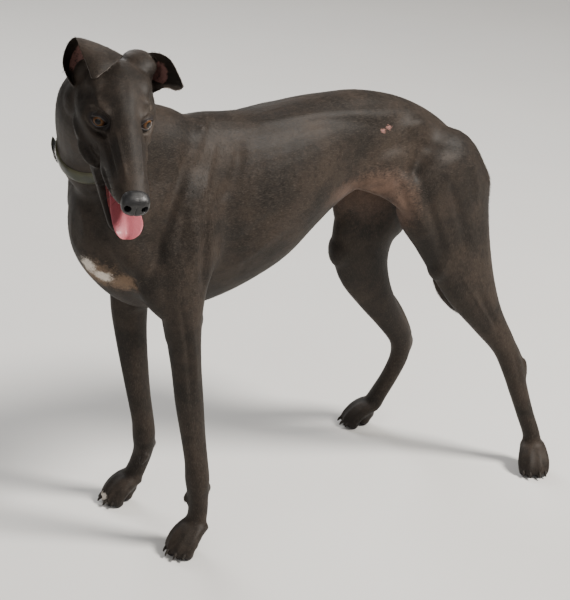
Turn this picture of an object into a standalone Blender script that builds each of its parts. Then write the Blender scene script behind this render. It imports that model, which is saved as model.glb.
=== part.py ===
"""A greyhound standing still, life-size, head turned to its left.

The dog faces -X, its left side is -Y, up is +Z and the floor is z = 0.
Metres throughout.  The animal is modelled whole, as lofted bones and muscles
melted into one skin, and then parted by thin cuts where its parts meet.
"""
import math

import bmesh
import bpy
import numpy as np
from mathutils import Matrix, Vector

WITHERS = 0.72            # height of the back above the shoulders
CUT = 0.0003              # gap left between neighbouring parts
BODY_VOXEL = 0.0034       # grain of the melted body
HEAD_VOXEL = 0.0018       # grain of the melted head
EAR_THICK = 0.0034
EYE_R = 0.0150            # eyeball
JAW_OPEN = 15.0           # degrees the lower jaw hangs open
COLLAR_AT = Vector((-0.191, -0.033, 0.703))
COLLAR_AXIS = Vector((-0.52, -0.44, 0.73))
COLLAR_W = 0.030
COLLAR_T = 0.0028

# the head's own frame: x to the nose, y to the dog's left, z up, origin
# midway between the eyes
HEAD_O = Vector((-0.274, -0.220, 0.800))
HEAD_F = Vector((-0.324, -0.880, -0.347)).normalized()
HEAD_U = Vector((-0.009, -0.364, 0.931))
HEAD_U = (HEAD_U - HEAD_U.dot(HEAD_F) * HEAD_F).normalized()
HEAD_L = HEAD_U.cross(HEAD_F)
HEAD_M = Matrix((
    (HEAD_F.x, HEAD_L.x, HEAD_U.x, HEAD_O.x),
    (HEAD_F.y, HEAD_L.y, HEAD_U.y, HEAD_O.y),
    (HEAD_F.z, HEAD_L.z, HEAD_U.z, HEAD_O.z),
    (0, 0, 0, 1)))

# torso: x, top, bottom, half width, height of the widest place, roundness
# of the upper half, roundness of the lower half
TORSO = (
    (-0.220, 0.594, 0.526, 0.020, 0.560, 2.0, 2.0),
    (-0.211, 0.624, 0.502, 0.045, 0.560, 2.0, 2.0),
    (-0.192, 0.656, 0.472, 0.065, 0.560, 2.0, 2.0),
    (-0.158, 0.680, 0.436, 0.077, 0.562, 2.0, 1.9),
    (-0.114, 0.698, 0.409, 0.081, 0.565, 2.0, 1.8),
    (-0.060, 0.712, 0.396, 0.082, 0.560, 1.9, 1.7),
    (0.000, 0.716, 0.392, 0.085, 0.555, 1.8, 1.7),
    (0.050, 0.710, 0.402, 0.091, 0.560, 1.9, 1.8),
    (0.100, 0.707, 0.420, 0.094, 0.570, 2.0, 1.9),
    (0.150, 0.711, 0.445, 0.091, 0.582, 2.0, 2.0),
    (0.200, 0.7145, 0.484, 0.083, 0.600, 2.0, 2.0),
    (0.250, 0.7145, 0.518, 0.072, 0.615, 2.0, 2.0),
    (0.300, 0.7130, 0.540, 0.063, 0.622, 2.0, 2.0),
    (0.350, 0.7035, 0.550, 0.062, 0.622, 2.0, 2.0),
    (0.400, 0.6880, 0.553, 0.066, 0.618, 2.0, 2.0),
    (0.450, 0.6635, 0.545, 0.064, 0.605, 2.0, 2.0),
    (0.495, 0.6310, 0.535, 0.050, 0.582, 2.0, 2.0),
    (0.528, 0.5950, 0.540, 0.030, 0.566, 2.0, 2.0),
    (0.541, 0.575, 0.552, 0.012, 0.564, 2.0, 2.0))

# tubes: centre x, y, z, half depth (fore and aft), half width (sideways)
NECK = (
    (-0.020, 0.000, 0.610, 0.070, 0.052),
    (-0.078, 0.000, 0.636, 0.094, 0.064),
    (-0.136, -0.001, 0.664, 0.090, 0.066),
    (-0.181, -0.015, 0.691, 0.077, 0.063),
    (-0.209, -0.042, 0.728, 0.065, 0.060),
    (-0.232, -0.075, 0.762, 0.062, 0.059),
    (-0.249, -0.107, 0.796, 0.059, 0.057),
    (-0.256, -0.136, 0.816, 0.047, 0.046))
TAIL = (
    (0.482, 0.000, 0.612, 0.020, 0.018),
    (0.520, 0.000, 0.588, 0.018, 0.017),
    (0.543, 0.000, 0.560, 0.0155, 0.0142),
    (0.545, -0.002, 0.526, 0.0135, 0.0125),
    (0.527, -0.006, 0.470, 0.0125, 0.0115),
    (0.505, -0.010, 0.415, 0.0115, 0.0108),
    (0.498, -0.014, 0.370, 0.0105, 0.0100),
    (0.511, -0.016, 0.325, 0.0096, 0.0092),
    (0.543, -0.016, 0.287, 0.0086, 0.0084),
    (0.583, -0.014, 0.262, 0.0074, 0.0072),
    (0.617, -0.010, 0.256, 0.0058, 0.0056),
    (0.631, -0.008, 0.258, 0.0036, 0.0036))
ARM = (
    (-0.028, 0.046, 0.650, 0.026, 0.016),
    (-0.045, 0.060, 0.600, 0.056, 0.030),
    (-0.064, 0.070, 0.535, 0.064, 0.035),
    (-0.076, 0.076, 0.475, 0.052, 0.034),
    (-0.074, 0.079, 0.425, 0.037, 0.031),
    (-0.070, 0.080, 0.375, 0.0300, 0.027))
FORE_L = (
    (-0.073, -0.079, 0.430, 0.035, 0.030),
    (-0.070, -0.082, 0.375, 0.0292, 0.0265),
    (-0.0655, -0.085, 0.325, 0.0258, 0.0235),
    (-0.060, -0.089, 0.265, 0.0250, 0.0200),
    (-0.053, -0.093, 0.205, 0.0218, 0.0178),
    (-0.048, -0.097, 0.160, 0.0205, 0.0180),
    (-0.046, -0.099, 0.128, 0.0205, 0.0215),
    (-0.043, -0.098, 0.098, 0.0175, 0.0195),
    (-0.041, -0.097, 0.070, 0.0160, 0.0190),
    (-0.045, -0.098, 0.046, 0.0155, 0.0205))
FORE_R = (
    (-0.073, 0.079, 0.430, 0.036, 0.030),
    (-0.071, 0.083, 0.375, 0.0335, 0.0265),
    (-0.066, 0.085, 0.325, 0.0290, 0.0235),
    (-0.058, 0.084, 0.265, 0.0250, 0.0200),
    (-0.049, 0.082, 0.205, 0.0215, 0.0178),
    (-0.041, 0.081, 0.160, 0.0200, 0.0180),
    (-0.037, 0.082, 0.128, 0.0200, 0.0210),
    (-0.035, 0.086, 0.098, 0.0170, 0.0190),
    (-0.040, 0.092, 0.070, 0.0155, 0.0185),
    (-0.048, 0.097, 0.046, 0.0150, 0.0200))
HIND_L = (
    (0.432, -0.036, 0.622, 0.040, 0.028),
    (0.449, -0.054, 0.583, 0.077, 0.045),
    (0.458, -0.064, 0.525, 0.098, 0.043),
    (0.477, -0.070, 0.465, 0.080, 0.038),
    (0.496, -0.077, 0.410, 0.065, 0.034),
    (0.520, -0.086, 0.350, 0.050, 0.029),
    (0.553, -0.097, 0.290, 0.033, 0.024),
    (0.588, -0.109, 0.236, 0.0235, 0.0195),
    (0.606, -0.119, 0.192, 0.0215, 0.0185),
    (0.617, -0.127, 0.152, 0.0185, 0.0170),
    (0.631, -0.136, 0.105, 0.0160, 0.0165),
    (0.643, -0.145, 0.066, 0.0150, 0.0180),
    (0.644, -0.151, 0.045, 0.0150, 0.0200))
HIND_R = (
    (0.438, 0.036, 0.625, 0.046, 0.030),
    (0.442, 0.054, 0.585, 0.084, 0.045),
    (0.430, 0.066, 0.525, 0.089, 0.043),
    (0.425, 0.075, 0.465, 0.085, 0.038),
    (0.408, 0.082, 0.410, 0.068, 0.034),
    (0.414, 0.086, 0.352, 0.054, 0.030),
    (0.444, 0.087, 0.292, 0.037, 0.025),
    (0.483, 0.087, 0.236, 0.0265, 0.0205),
    (0.513, 0.087, 0.192, 0.0225, 0.0185),
    (0.519, 0.092, 0.152, 0.0185, 0.0170),
    (0.510, 0.104, 0.108, 0.0160, 0.0165),
    (0.499, 0.119, 0.068, 0.0150, 0.0180),
    (0.493, 0.127, 0.046, 0.0150, 0.0200))
# webs of skin from the belly to the knees
FLANK_L = (
    (0.235, -0.036, 0.590, 0.012, 0.008),
    (0.270, -0.048, 0.584, 0.022, 0.011),
    (0.310, -0.060, 0.576, 0.027, 0.013),
    (0.350, -0.071, 0.558, 0.029, 0.015),
    (0.390, -0.079, 0.522, 0.029, 0.017),
    (0.418, -0.082, 0.478, 0.027, 0.018))
FLANK_R = (
    (0.235, 0.036, 0.590, 0.012, 0.008),
    (0.265, 0.048, 0.582, 0.022, 0.011),
    (0.300, 0.060, 0.570, 0.027, 0.013),
    (0.332, 0.071, 0.548, 0.029, 0.015),
    (0.355, 0.079, 0.508, 0.029, 0.017),
    (0.367, 0.082, 0.460, 0.027, 0.018))
# paws: place of the knuckle joint, way the toes point, size
PAWS = {
    "front_left": ((-0.048, -0.099), (-1.0, -0.26), 0.90),
    "front_right": ((-0.050, 0.101), (-1.0, 0.03), 0.88),
    "hind_left": ((0.642, -0.155), (-0.55, -0.84), 0.86),
    "hind_right": ((0.489, 0.133), (-1.0, 0.42), 0.86)}

# head: x, top, bottom, half width, height of the widest place, roundness
# above and below, all in the head's own frame
SKULL = (
    (-0.122, 0.004, -0.028, 0.012, -0.012, 2.0, 2.0),
    (-0.116, 0.020, -0.038, 0.028, -0.011, 2.0, 2.0),
    (-0.102, 0.034, -0.047, 0.0455, -0.011, 2.0, 2.0),
    (-0.082, 0.0415, -0.054, 0.0545, -0.010, 2.0, 2.0),
    (-0.058, 0.0430, -0.058, 0.0580, -0.010, 1.85, 2.0),
    (-0.032, 0.0400, -0.060, 0.0560, -0.012, 1.65, 2.1),
    (-0.010, 0.0340, -0.060, 0.0500, -0.017, 1.5, 2.2),
    (0.010, 0.0265, -0.060, 0.0415, -0.022, 1.55, 2.4),
    (0.032, 0.0185, -0.060, 0.0345, -0.030, 1.8, 2.6),
    (0.058, 0.0095, -0.058, 0.0295, -0.036, 2.0, 2.8),
    (0.084, 0.0010, -0.0555, 0.0275, -0.036, 2.0, 2.8),
    (0.106, -0.0060, -0.0530, 0.0262, -0.036, 2.0, 2.8),
    (0.121, -0.0120, -0.0500, 0.0235, -0.035, 2.0, 2.6),
    (0.131, -0.0175, -0.0470, 0.0195, -0.033, 2.0, 2.4),
    (0.138, -0.0250, -0.0430, 0.0110, -0.033, 2.0, 2.0))
JAW = (
    (-0.060, -0.030, -0.070, 0.036, -0.048, 2.0, 2.0),
    (-0.035, -0.040, -0.082, 0.038, -0.060, 2.2, 2.2),
    (-0.005, -0.044, -0.086, 0.034, -0.066, 2.4, 2.2),
    (0.018, -0.044, -0.087, 0.0305, -0.066, 2.8, 2.2),
    (0.032, -0.053, -0.087, 0.0270, -0.070, 3.0, 2.2),
    (0.060, -0.0625, -0.085, 0.0225, -0.070, 3.0, 2.2),
    (0.088, -0.0620, -0.080, 0.0190, -0.069, 3.0, 2.2),
    (0.106, -0.0610, -0.077, 0.0170, -0.067, 3.0, 2.2),
    (0.117, -0.0610, -0.073, 0.0125, -0.066, 2.6, 2.0),
    (0.121, -0.0630, -0.069, 0.0050, -0.066, 2.0, 2.0))
JAW_HINGE = Vector((-0.045, 0.0, -0.040))
NOSE = (
    (0.1250, -0.0195, -0.0440, 0.0150, -0.0305, 2.2, 2.2),
    (0.1300, -0.0155, -0.0485, 0.0190, -0.0305, 2.5, 2.2),
    (0.1380, -0.0170, -0.0500, 0.0202, -0.0315, 2.7, 2.3),
    (0.1445, -0.0205, -0.0485, 0.0184, -0.0328, 2.7, 2.3),
    (0.1485, -0.0255, -0.0435, 0.0125, -0.0340, 2.4, 2.0))


def clear_scene():
    for ob in list(bpy.data.objects):
        bpy.data.objects.remove(ob, do_unlink=True)


def group(name):
    coll = bpy.data.collections.new(name)
    bpy.context.scene.collection.children.link(coll)
    return coll


def link(name, mesh, coll):
    ob = bpy.data.objects.new(name, mesh)
    coll.objects.link(ob)
    return ob


def curve_through(rows, steps):
    """Rows of numbers, filled in smoothly with steps-1 rows between each."""
    p = np.array(rows, dtype=float)
    q = np.vstack((2 * p[0] - p[1], p, 2 * p[-1] - p[-2]))
    out = []
    for i in range(1, len(q) - 2):
        for s in range(steps):
            t = s / steps
            m0 = (q[i + 1] - q[i - 1]) / 2
            m1 = (q[i + 2] - q[i]) / 2
            out.append((2 * t ** 3 - 3 * t ** 2 + 1) * q[i]
                       + (t ** 3 - 2 * t ** 2 + t) * m0
                       + (-2 * t ** 3 + 3 * t ** 2) * q[i + 1]
                       + (t ** 3 - t ** 2) * m1)
    out.append(q[-2])
    return np.array(out)


def skin_rings(rings):
    """A closed mesh over rings of equal length, closed by a fan at each end."""
    n = len(rings[0])
    verts = [tuple(v) for ring in rings for v in ring]
    faces = []
    for k in range(len(rings) - 1):
        for i in range(n):
            j = (i + 1) % n
            faces.append((k * n + i, k * n + j, (k + 1) * n + j, (k + 1) * n + i))
    first = len(verts)
    verts.append(tuple(np.mean(rings[0], axis=0)))
    verts.append(tuple(np.mean(rings[-1], axis=0)))
    last = (len(rings) - 1) * n
    for i in range(n):
        j = (i + 1) % n
        faces.append((first, j, i))
        faces.append((first + 1, last + i, last + j))
    mesh = bpy.data.meshes.new("skin")
    mesh.from_pydata(verts, [], faces)
    bm = bmesh.new()
    bm.from_mesh(mesh)
    bmesh.ops.recalc_face_normals(bm, faces=bm.faces)
    bm.to_mesh(mesh)
    bm.free()
    return mesh


def section(top, bottom, width, widest, m_up, m_low, n):
    """Outline of one upright section, as (sideways, up) pairs."""
    out = []
    for i in range(n):
        a = 2 * math.pi * i / n
        s, c = math.sin(a), math.cos(a)
        m = m_up if c >= 0 else m_low
        h = (top - widest) if c >= 0 else (widest - bottom)
        out.append((width * math.copysign(abs(s) ** (2 / m), s),
                    widest + h * math.copysign(abs(c) ** (2 / m), c)))
    return out


def hull(rows, matrix=None, n=40, steps=4):
    """A body lofted over upright sections set along x."""
    rings = []
    for x, top, bottom, width, widest, m_up, m_low in curve_through(rows, steps):
        pts = section(top, bottom, max(width, 0.001), widest, m_up, m_low, n)
        ring = [Vector((x, y, z)) for y, z in pts]
        rings.append([matrix @ v if matrix else v for v in ring])
    return skin_rings(rings)


def tube(rows, side=(0, 1, 0), n=28, steps=4):
    """A limb lofted over oval sections square to its own line."""
    r = curve_through(rows, steps)
    side = Vector(side)
    rings = []
    for k, row in enumerate(r):
        a = Vector(r[max(k - 1, 0)][:3])
        b = Vector(r[min(k + 1, len(r) - 1)][:3])
        t = (b - a).normalized()
        w = (side - side.dot(t) * t).normalized()
        d = w.cross(t)
        c = Vector(row[:3])
        ring = []
        for i in range(n):
            ang = 2 * math.pi * i / n
            ring.append(c + d * (row[3] * math.cos(ang)) + w * (row[4] * math.sin(ang)))
        rings.append(ring)
    return skin_rings(rings)


def spindle(a, b, deep, wide, side=(0, 1, 0), blunt=0.5):
    """A muscle: thick in the middle, thin at both ends."""
    a, b = Vector(a), Vector(b)
    rows = []
    for k in range(9):
        t = k / 8
        f = max(math.sin(math.pi * t) ** blunt, 0.12)
        c = a.lerp(b, t)
        rows.append((c.x, c.y, c.z, deep * f, wide * f))
    return tube(rows, side, n=20, steps=1)


def blob(centre, radii, matrix=None):
    bm = bmesh.new()
    bmesh.ops.create_uvsphere(bm, u_segments=24, v_segments=16, radius=1.0)
    m = Matrix.Translation(Vector(centre)) @ Matrix.Diagonal((*radii, 1))
    bm.transform(matrix @ m if matrix else m)
    mesh = bpy.data.meshes.new("blob")
    bm.to_mesh(mesh)
    bm.free()
    return mesh


def mirror_rows(rows):
    return [(r[0], -r[1]) + tuple(r[2:]) for r in rows]


def joined(meshes):
    bm = bmesh.new()
    for m in meshes:
        bm.from_mesh(m)
    mesh = bpy.data.meshes.new("joined")
    bm.to_mesh(mesh)
    bm.free()
    return mesh


def melted(name, meshes, voxel, fill, relax, coll):
    """All the meshes run together into one skin, with its hollows filled."""
    ob = link(name, joined(meshes), coll)
    mod = ob.modifiers.new("melt", "REMESH")
    mod.mode = "VOXEL"
    mod.voxel_size = voxel
    apply_all(ob)
    soften(ob.data, fill, relax)
    return ob


def apply_all(ob):
    deps = bpy.context.evaluated_depsgraph_get()
    deps.update()
    mesh = bpy.data.meshes.new_from_object(ob.evaluated_get(deps))
    ob.modifiers.clear()
    ob.data = mesh


def soften(mesh, fill, relax):
    """Fill the creases between muscles, then even the whole skin a little."""
    n = len(mesh.vertices)
    co = np.empty(n * 3)
    mesh.vertices.foreach_get("co", co)
    co = co.reshape(n, 3)
    e = np.empty(len(mesh.edges) * 2, dtype=np.int64)
    mesh.edges.foreach_get("vertices", e)
    e = e.reshape(-1, 2)
    count = np.bincount(e.ravel(), minlength=n).astype(float)[:, None]

    def lap(c):
        s = np.zeros_like(c)
        for k in range(3):
            s[:, k] = (np.bincount(e[:, 0], weights=c[e[:, 1], k], minlength=n)
                       + np.bincount(e[:, 1], weights=c[e[:, 0], k], minlength=n))
        return s / count - c

    def normals(c):
        mesh.vertices.foreach_set("co", c.ravel())
        mesh.update()
        out = np.empty(n * 3)
        mesh.vertex_normals.foreach_get("vector", out)
        return out.reshape(n, 3)

    for _ in range(2):
        co = co + 0.5 * lap(co)
    nor = normals(co)
    for k in range(fill):
        d = lap(co)
        along = np.sum(d * nor, axis=1, keepdims=True)
        co = co + 0.9 * np.maximum(along, 0) * nor + 0.5 * (d - along * nor)
        if k % 4 == 3:
            nor = normals(co)
    for _ in range(relax):
        co = co + 0.5 * lap(co)
        co = co - 0.52 * lap(co)
    for _ in range(2):
        co = co + 0.5 * lap(co)
    mesh.vertices.foreach_set("co", co.ravel())
    mesh.update()


def boolean(ob, cutter, how, solver="MANIFOLD"):
    mod = ob.modifiers.new("cut", "BOOLEAN")
    mod.operation = how
    mod.solver = solver
    mod.object = cutter
    apply_all(ob)


def closed(mesh):
    bm = bmesh.new()
    bm.from_mesh(mesh)
    bmesh.ops.remove_doubles(bm, verts=bm.verts, dist=1e-6)
    good = all(len(e.link_faces) == 2 for e in bm.edges)
    bm.free()
    return good


def welded(mesh, near):
    """A copy of the mesh with places closer than near drawn into one."""
    bm = bmesh.new()
    bm.from_mesh(mesh)
    bmesh.ops.remove_doubles(bm, verts=bm.verts, dist=near)
    bmesh.ops.dissolve_degenerate(bm, dist=near, edges=bm.edges)
    out = bpy.data.meshes.new("welded")
    bm.to_mesh(out)
    bm.free()
    return out


def thinned(ob, faces):
    """A lighter mesh of about so many triangles, still one closed surface."""
    dense = ob.data
    for near in (0.0, 0.0004, 0.0007):
        base = welded(dense, near) if near else dense
        now = sum(len(p.vertices) - 2 for p in base.polygons)
        for k in range(6):
            ob.data = base.copy()
            mod = ob.modifiers.new("thin", "DECIMATE")
            mod.ratio = min(1.0, faces * (1 + 0.02 * k) / now)
            apply_all(ob)
            if closed(ob.data):
                return
    raise RuntimeError(ob.name + " could not be thinned")


def islands(mesh):
    """The closed surfaces of a mesh, as lists of face indices."""
    bm = bmesh.new()
    bm.from_mesh(mesh)
    bm.faces.ensure_lookup_table()
    seen = set()
    out = []
    for f in bm.faces:
        if f.index in seen:
            continue
        seen.add(f.index)
        stack = [f]
        piece = []
        while stack:
            g = stack.pop()
            piece.append(g.index)
            for e in g.edges:
                for h in e.link_faces:
                    if h.index not in seen:
                        seen.add(h.index)
                        stack.append(h)
        out.append(piece)
    bm.free()
    return out


def keep_faces(mesh, faces):
    bm = bmesh.new()
    bm.from_mesh(mesh)
    bm.faces.ensure_lookup_table()
    wanted = set(faces)
    bmesh.ops.delete(bm, geom=[f for f in bm.faces if f.index not in wanted],
                     context="FACES")
    out = bpy.data.meshes.new("piece")
    bm.to_mesh(out)
    bm.free()
    return out


def volume(mesh):
    bm = bmesh.new()
    bm.from_mesh(mesh)
    v = bm.calc_volume()
    bm.free()
    return v


# rows from root to tip; each row is three places (front or outer edge, back
# of the cup, inner edge) in the head's own frame
EAR_R = (
    ((-0.078, -0.046, -0.012), (-0.094, -0.038, -0.018), (-0.070, -0.030, 0.000)),
    ((-0.083, -0.064, 0.004), (-0.100, -0.050, -0.006), (-0.076, -0.032, 0.018)),
    ((-0.099, -0.075, 0.021), (-0.119, -0.047, 0.010), (-0.083, -0.016, 0.030)),
    ((-0.115, -0.071, 0.041), (-0.124, -0.036, 0.034), (-0.087, 0.002, 0.044)),
    ((-0.117, -0.062, 0.055), (-0.112, -0.028, 0.051), (-0.082, 0.003, 0.054)),
    ((-0.098, -0.060, 0.056), (-0.087, -0.032, 0.057), (-0.067, -0.006, 0.055)),
    ((-0.074, -0.053, 0.048), (-0.064, -0.036, 0.053), (-0.055, -0.021, 0.049)),
    ((-0.046, -0.046, 0.0375), (-0.042, -0.042, 0.039), (-0.044, -0.037, 0.041)))
EAR_L = (
    ((-0.098, 0.030, 0.018), (-0.104, 0.034, -0.008), (-0.074, 0.042, -0.010)),
    ((-0.112, 0.038, 0.029), (-0.114, 0.047, 0.000), (-0.076, 0.056, -0.004)),
    ((-0.110, 0.047, 0.043), (-0.115, 0.061, 0.010), (-0.071, 0.062, 0.006)),
    ((-0.103, 0.062, 0.049), (-0.102, 0.073, 0.016), (-0.070, 0.068, 0.012)),
    ((-0.093, 0.077, 0.046), (-0.087, 0.083, 0.021), (-0.066, 0.076, 0.015)),
    ((-0.077, 0.088, 0.034), (-0.074, 0.089, 0.022), (-0.060, 0.083, 0.016)),
    ((-0.062, 0.095, 0.024), (-0.062, 0.095, 0.021), (-0.059, 0.091, 0.019)))


def ear(rows, thick, across=14, steps=5):
    """A thin cup of skin through rows of places, as one closed shell."""
    flat = [sum((list(p) for p in row), []) for row in rows]
    fine = curve_through(flat, steps)
    grid = []
    for row in fine:
        a, b, c = (np.array(row[k:k + 3]) for k in (0, 3, 6))
        m = 2 * b - (a + c) / 2
        line = []
        for i in range(across + 1):
            t = i / across
            line.append((1 - t) ** 2 * a + 2 * t * (1 - t) * m + t * t * c)
        grid.append(line)
    verts = [tuple(HEAD_M @ Vector(v)) for line in grid for v in line]
    w = across + 1
    faces = [(k * w + i, k * w + i + 1, (k + 1) * w + i + 1, (k + 1) * w + i)
             for k in range(len(grid) - 1) for i in range(across)]
    mesh = bpy.data.meshes.new("ear")
    mesh.from_pydata(verts, [], faces)
    ob = link("ear", mesh, SCRAP)
    mod = ob.modifiers.new("thick", "SOLIDIFY")
    mod.thickness = thick
    mod.offset = 0.0
    mod.use_even_offset = False
    apply_all(ob)
    out = ob.data
    bpy.data.objects.remove(ob)
    return out


def paw_frame(name):
    (x, y), (dx, dy), size = PAWS[name]
    f = Vector((dx, dy, 0)).normalized()
    s = Vector((f.y, -f.x, 0))
    m = Matrix(((f.x, s.x, 0, x), (f.y, s.y, 0, y), (0, 0, 1, 0), (0, 0, 0, 1)))
    return m @ Matrix.Scale(size, 4)


TOES = ((-0.0185, 0.000), (-0.0080, 0.009), (0.0080, 0.009), (0.0185, 0.000))


def paw_meshes(name):
    """Four arched toes on their pads and the heel pad behind them."""
    m = paw_frame(name)
    out = []
    for off, reach in TOES:
        spread = off * 1.22
        rows = ((-0.012 + reach * 0.3, off * 0.75, 0.050, 0.0110, 0.0105),
                (0.010 + reach, off, 0.0435, 0.0115, 0.0100),
                (0.027 + reach, spread, 0.0310, 0.0112, 0.0098),
                (0.037 + reach, spread, 0.0190, 0.0108, 0.0096),
                (0.043 + reach, spread, 0.0100, 0.0090, 0.0085))
        pts = [tuple(m @ Vector(r[:3])) + (r[3], r[4]) for r in rows]
        side = m.to_3x3() @ Vector((0, 1, 0))
        out.append(tube(pts, side, n=16, steps=2))
        out.append(blob((0.038 + reach, spread, 0.0075), (0.0125, 0.0085, 0.0090), m))
    out.append(blob((0.010, 0.0, 0.0120), (0.0150, 0.0175, 0.0140), m))
    out.append(blob((0.004, 0.0, 0.0300), (0.0180, 0.0200, 0.0200), m))
    return out


def claw_meshes(name):
    m = paw_frame(name)
    out = []
    for off, reach in TOES:
        spread = off * 1.22
        rows = ((0.036 + reach, spread, 0.0160, 0.0042, 0.0036),
                (0.046 + reach, spread * 1.01, 0.0145, 0.0038, 0.0031),
                (0.053 + reach, spread * 1.02, 0.0105, 0.0028, 0.0023),
                (0.0565 + reach, spread * 1.03, 0.0058, 0.0012, 0.0011))
        pts = [tuple(m @ Vector(r[:3])) + (r[3] * 0.9, r[4] * 0.9) for r in rows]
        out.append(tube(pts, m.to_3x3() @ Vector((0, 1, 0)), n=6, steps=1))
    return out


def dewclaw(wrist, fore):
    """The small fifth claw high on the inside of a foreleg."""
    w, f = Vector(wrist), Vector(fore)
    rows = ((*w, 0.0072, 0.0060), (*(w + f * 0.008 - Vector((0, 0, 0.010))), 0.0070, 0.0060),
            (*(w + f * 0.011 - Vector((0, 0, 0.018))), 0.0042, 0.0036))
    return tube(rows, n=12, steps=2)


def body_meshes():
    out = [hull(TORSO), tube(NECK), tube(TAIL, n=20),
           tube(FORE_L), tube(FORE_R), tube(HIND_L), tube(HIND_R)]
    for s in (-1, 1):
        rows = ARM if s > 0 else mirror_rows(ARM)
        out.append(tube(rows))
        # shoulder blade, point of the shoulder, upper arm and elbow
        out.append(spindle((-0.010, s * 0.030, 0.704), (-0.150, s * 0.066, 0.522),
                           0.040, 0.026))
        out.append(spindle((-0.150, s * 0.056, 0.560), (-0.085, s * 0.080, 0.405),
                           0.036, 0.028))
        out.append(blob((-0.148, s * 0.058, 0.528), (0.034, 0.026, 0.040)))
        out.append(blob((-0.045, s * 0.079, 0.402), (0.012, 0.010, 0.022)))
        # breast muscle between the forelegs, and the neck's strap muscle
        out.append(spindle((-0.196, s * 0.020, 0.575), (-0.100, s * 0.052, 0.430),
                           0.030, 0.030))
        out.append(spindle((-0.160, s * 0.044, 0.712), (-0.166, s * 0.062, 0.524),
                           0.040, 0.030))
        # loin muscles beside the spine, point of the hip and rump
        out.append(spindle((0.040, s * 0.026, 0.685), (0.440, s * 0.028, 0.661),
                           0.030, 0.030))
        out.append(blob((0.390, s * 0.047, 0.648), (0.036, 0.016, 0.020)))
        out.append(spindle((0.380, s * 0.040, 0.640), (0.518, s * 0.044, 0.560),
                           0.036, 0.028))
        # the flank's filling above the web of skin
        out.append(blob((0.345, s * 0.048, 0.592), (0.060, 0.026, 0.040)))
    # seat bones
    out.append(blob((0.518, -0.046, 0.560), (0.024, 0.020, 0.030)))
    out.append(blob((0.520, 0.046, 0.566), (0.024, 0.020, 0.030)))
    # heel cords, heel bones, wrists and their back pads, knees
    out.append(spindle((0.575, -0.098, 0.285), (0.630, -0.122, 0.196), 0.0085, 0.0070))
    out.append(spindle((0.480, 0.087, 0.290), (0.545, 0.088, 0.180), 0.0085, 0.0070))
    out.append(spindle((0.630, -0.121, 0.208), (0.622, -0.129, 0.150), 0.0100, 0.0090))
    out.append(spindle((0.542, 0.088, 0.190), (0.528, 0.094, 0.140), 0.0100, 0.0090))
    out.append(blob((-0.028, -0.100, 0.108), (0.008, 0.009, 0.011)))
    out.append(blob((-0.020, 0.083, 0.108), (0.008, 0.009, 0.011)))
    out.append(blob((0.447, -0.079, 0.408), (0.021, 0.023, 0.034)))
    out.append(blob((0.358, 0.084, 0.392), (0.020, 0.024, 0.034)))
    # flank folds from the belly to the knees
    out.append(tube(FLANK_L))
    out.append(tube(FLANK_R))
    out.append(dewclaw((-0.046, -0.082, 0.098), (-1, 0, 0)))
    out.append(dewclaw((-0.040, 0.066, 0.098), (-1, 0, 0)))
    for name in PAWS:
        out += paw_meshes(name)
    return out


JAW_M = HEAD_M @ Matrix.Translation(JAW_HINGE) @ Matrix.Rotation(
    math.radians(JAW_OPEN), 4, "Y") @ Matrix.Translation(-JAW_HINGE)


def head_meshes():
    h = HEAD_M
    out = [hull(SKULL, h), hull(JAW, JAW_M), tube(NECK)]
    for s in (-1, 1):
        # chewing muscle, cheek bone, brow, lid swelling, muzzle side, lips
        out.append(blob((-0.042, s * 0.038, -0.038), (0.036, 0.018, 0.030), h))
        out.append(spindle(h @ Vector((0.014, s * 0.033, -0.022)),
                           h @ Vector((-0.066, s * 0.053, -0.014)), 0.010, 0.010))
        out.append(blob((-0.012, s * 0.0260, 0.0135), (0.020, 0.0110, 0.0085), h))
        out.append(blob((-0.0065, s * 0.0322, -0.0005), (0.0135, 0.0130, 0.0125), h))
        out.append(spindle(h @ Vector((0.020, s * 0.026, -0.050)),
                           h @ Vector((0.126, s * 0.014, -0.046)), 0.010, 0.009))
        out.append(blob((-0.064, s * 0.028, 0.0170), (0.036, 0.022, 0.020), h))
        out.append(blob((-0.096, s * 0.040, 0.010), (0.020, 0.018, 0.022), h))
    for s in (-1, 1):
        # the web of lip at the corner of the mouth
        out.append(spindle(h @ Vector((-0.040, s * 0.041, -0.050)),
                           h @ Vector((0.026, s * 0.029, -0.0635)), 0.019, 0.012))
    out.append(blob((-0.106, 0.036, 0.026), (0.028, 0.027, 0.017), h))
    out.append(blob((-0.080, 0.0, -0.066), (0.050, 0.034, 0.030), h))
    # the neck's fullness behind the right cheek, as the head is turned left
    out.append(blob((-0.090, -0.033, -0.032), (0.036, 0.033, 0.036), h))
    return out


def eye_place(s):
    return HEAD_M @ Vector((-0.0098, s * 0.0280, -0.0030))


def sphere(name, centre, r, coll, seg=18, rings=10):
    bm = bmesh.new()
    bmesh.ops.create_uvsphere(bm, u_segments=seg, v_segments=rings, radius=r)
    bm.transform(Matrix.Translation(centre))
    mesh = bpy.data.meshes.new(name)
    bm.to_mesh(mesh)
    bm.free()
    return link(name, mesh, coll)


def lid_cutter(s):
    """The almond opening between the lids, looking out and forward."""
    gaze = Vector((0.79, s * 0.56, 0.20)).normalized()
    up = Vector((0, 0, 1))
    side = gaze.cross(up).normalized()
    up = side.cross(gaze)
    c = Vector((-0.0098, s * 0.0280, -0.0030))
    rings = []
    for d, grow in ((0.002, 0.80), (0.030, 1.25)):
        ring = []
        for i in range(20):
            a = 2 * math.pi * i / 20
            w = 0.0136 * math.cos(a)
            t = 0.0082 * math.sin(a) * (1 - 0.35 * abs(math.cos(a)))
            ring.append(HEAD_M @ (c + gaze * d + side * w * grow + up * t * grow))
        rings.append(ring)
    return skin_rings(rings)


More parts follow.
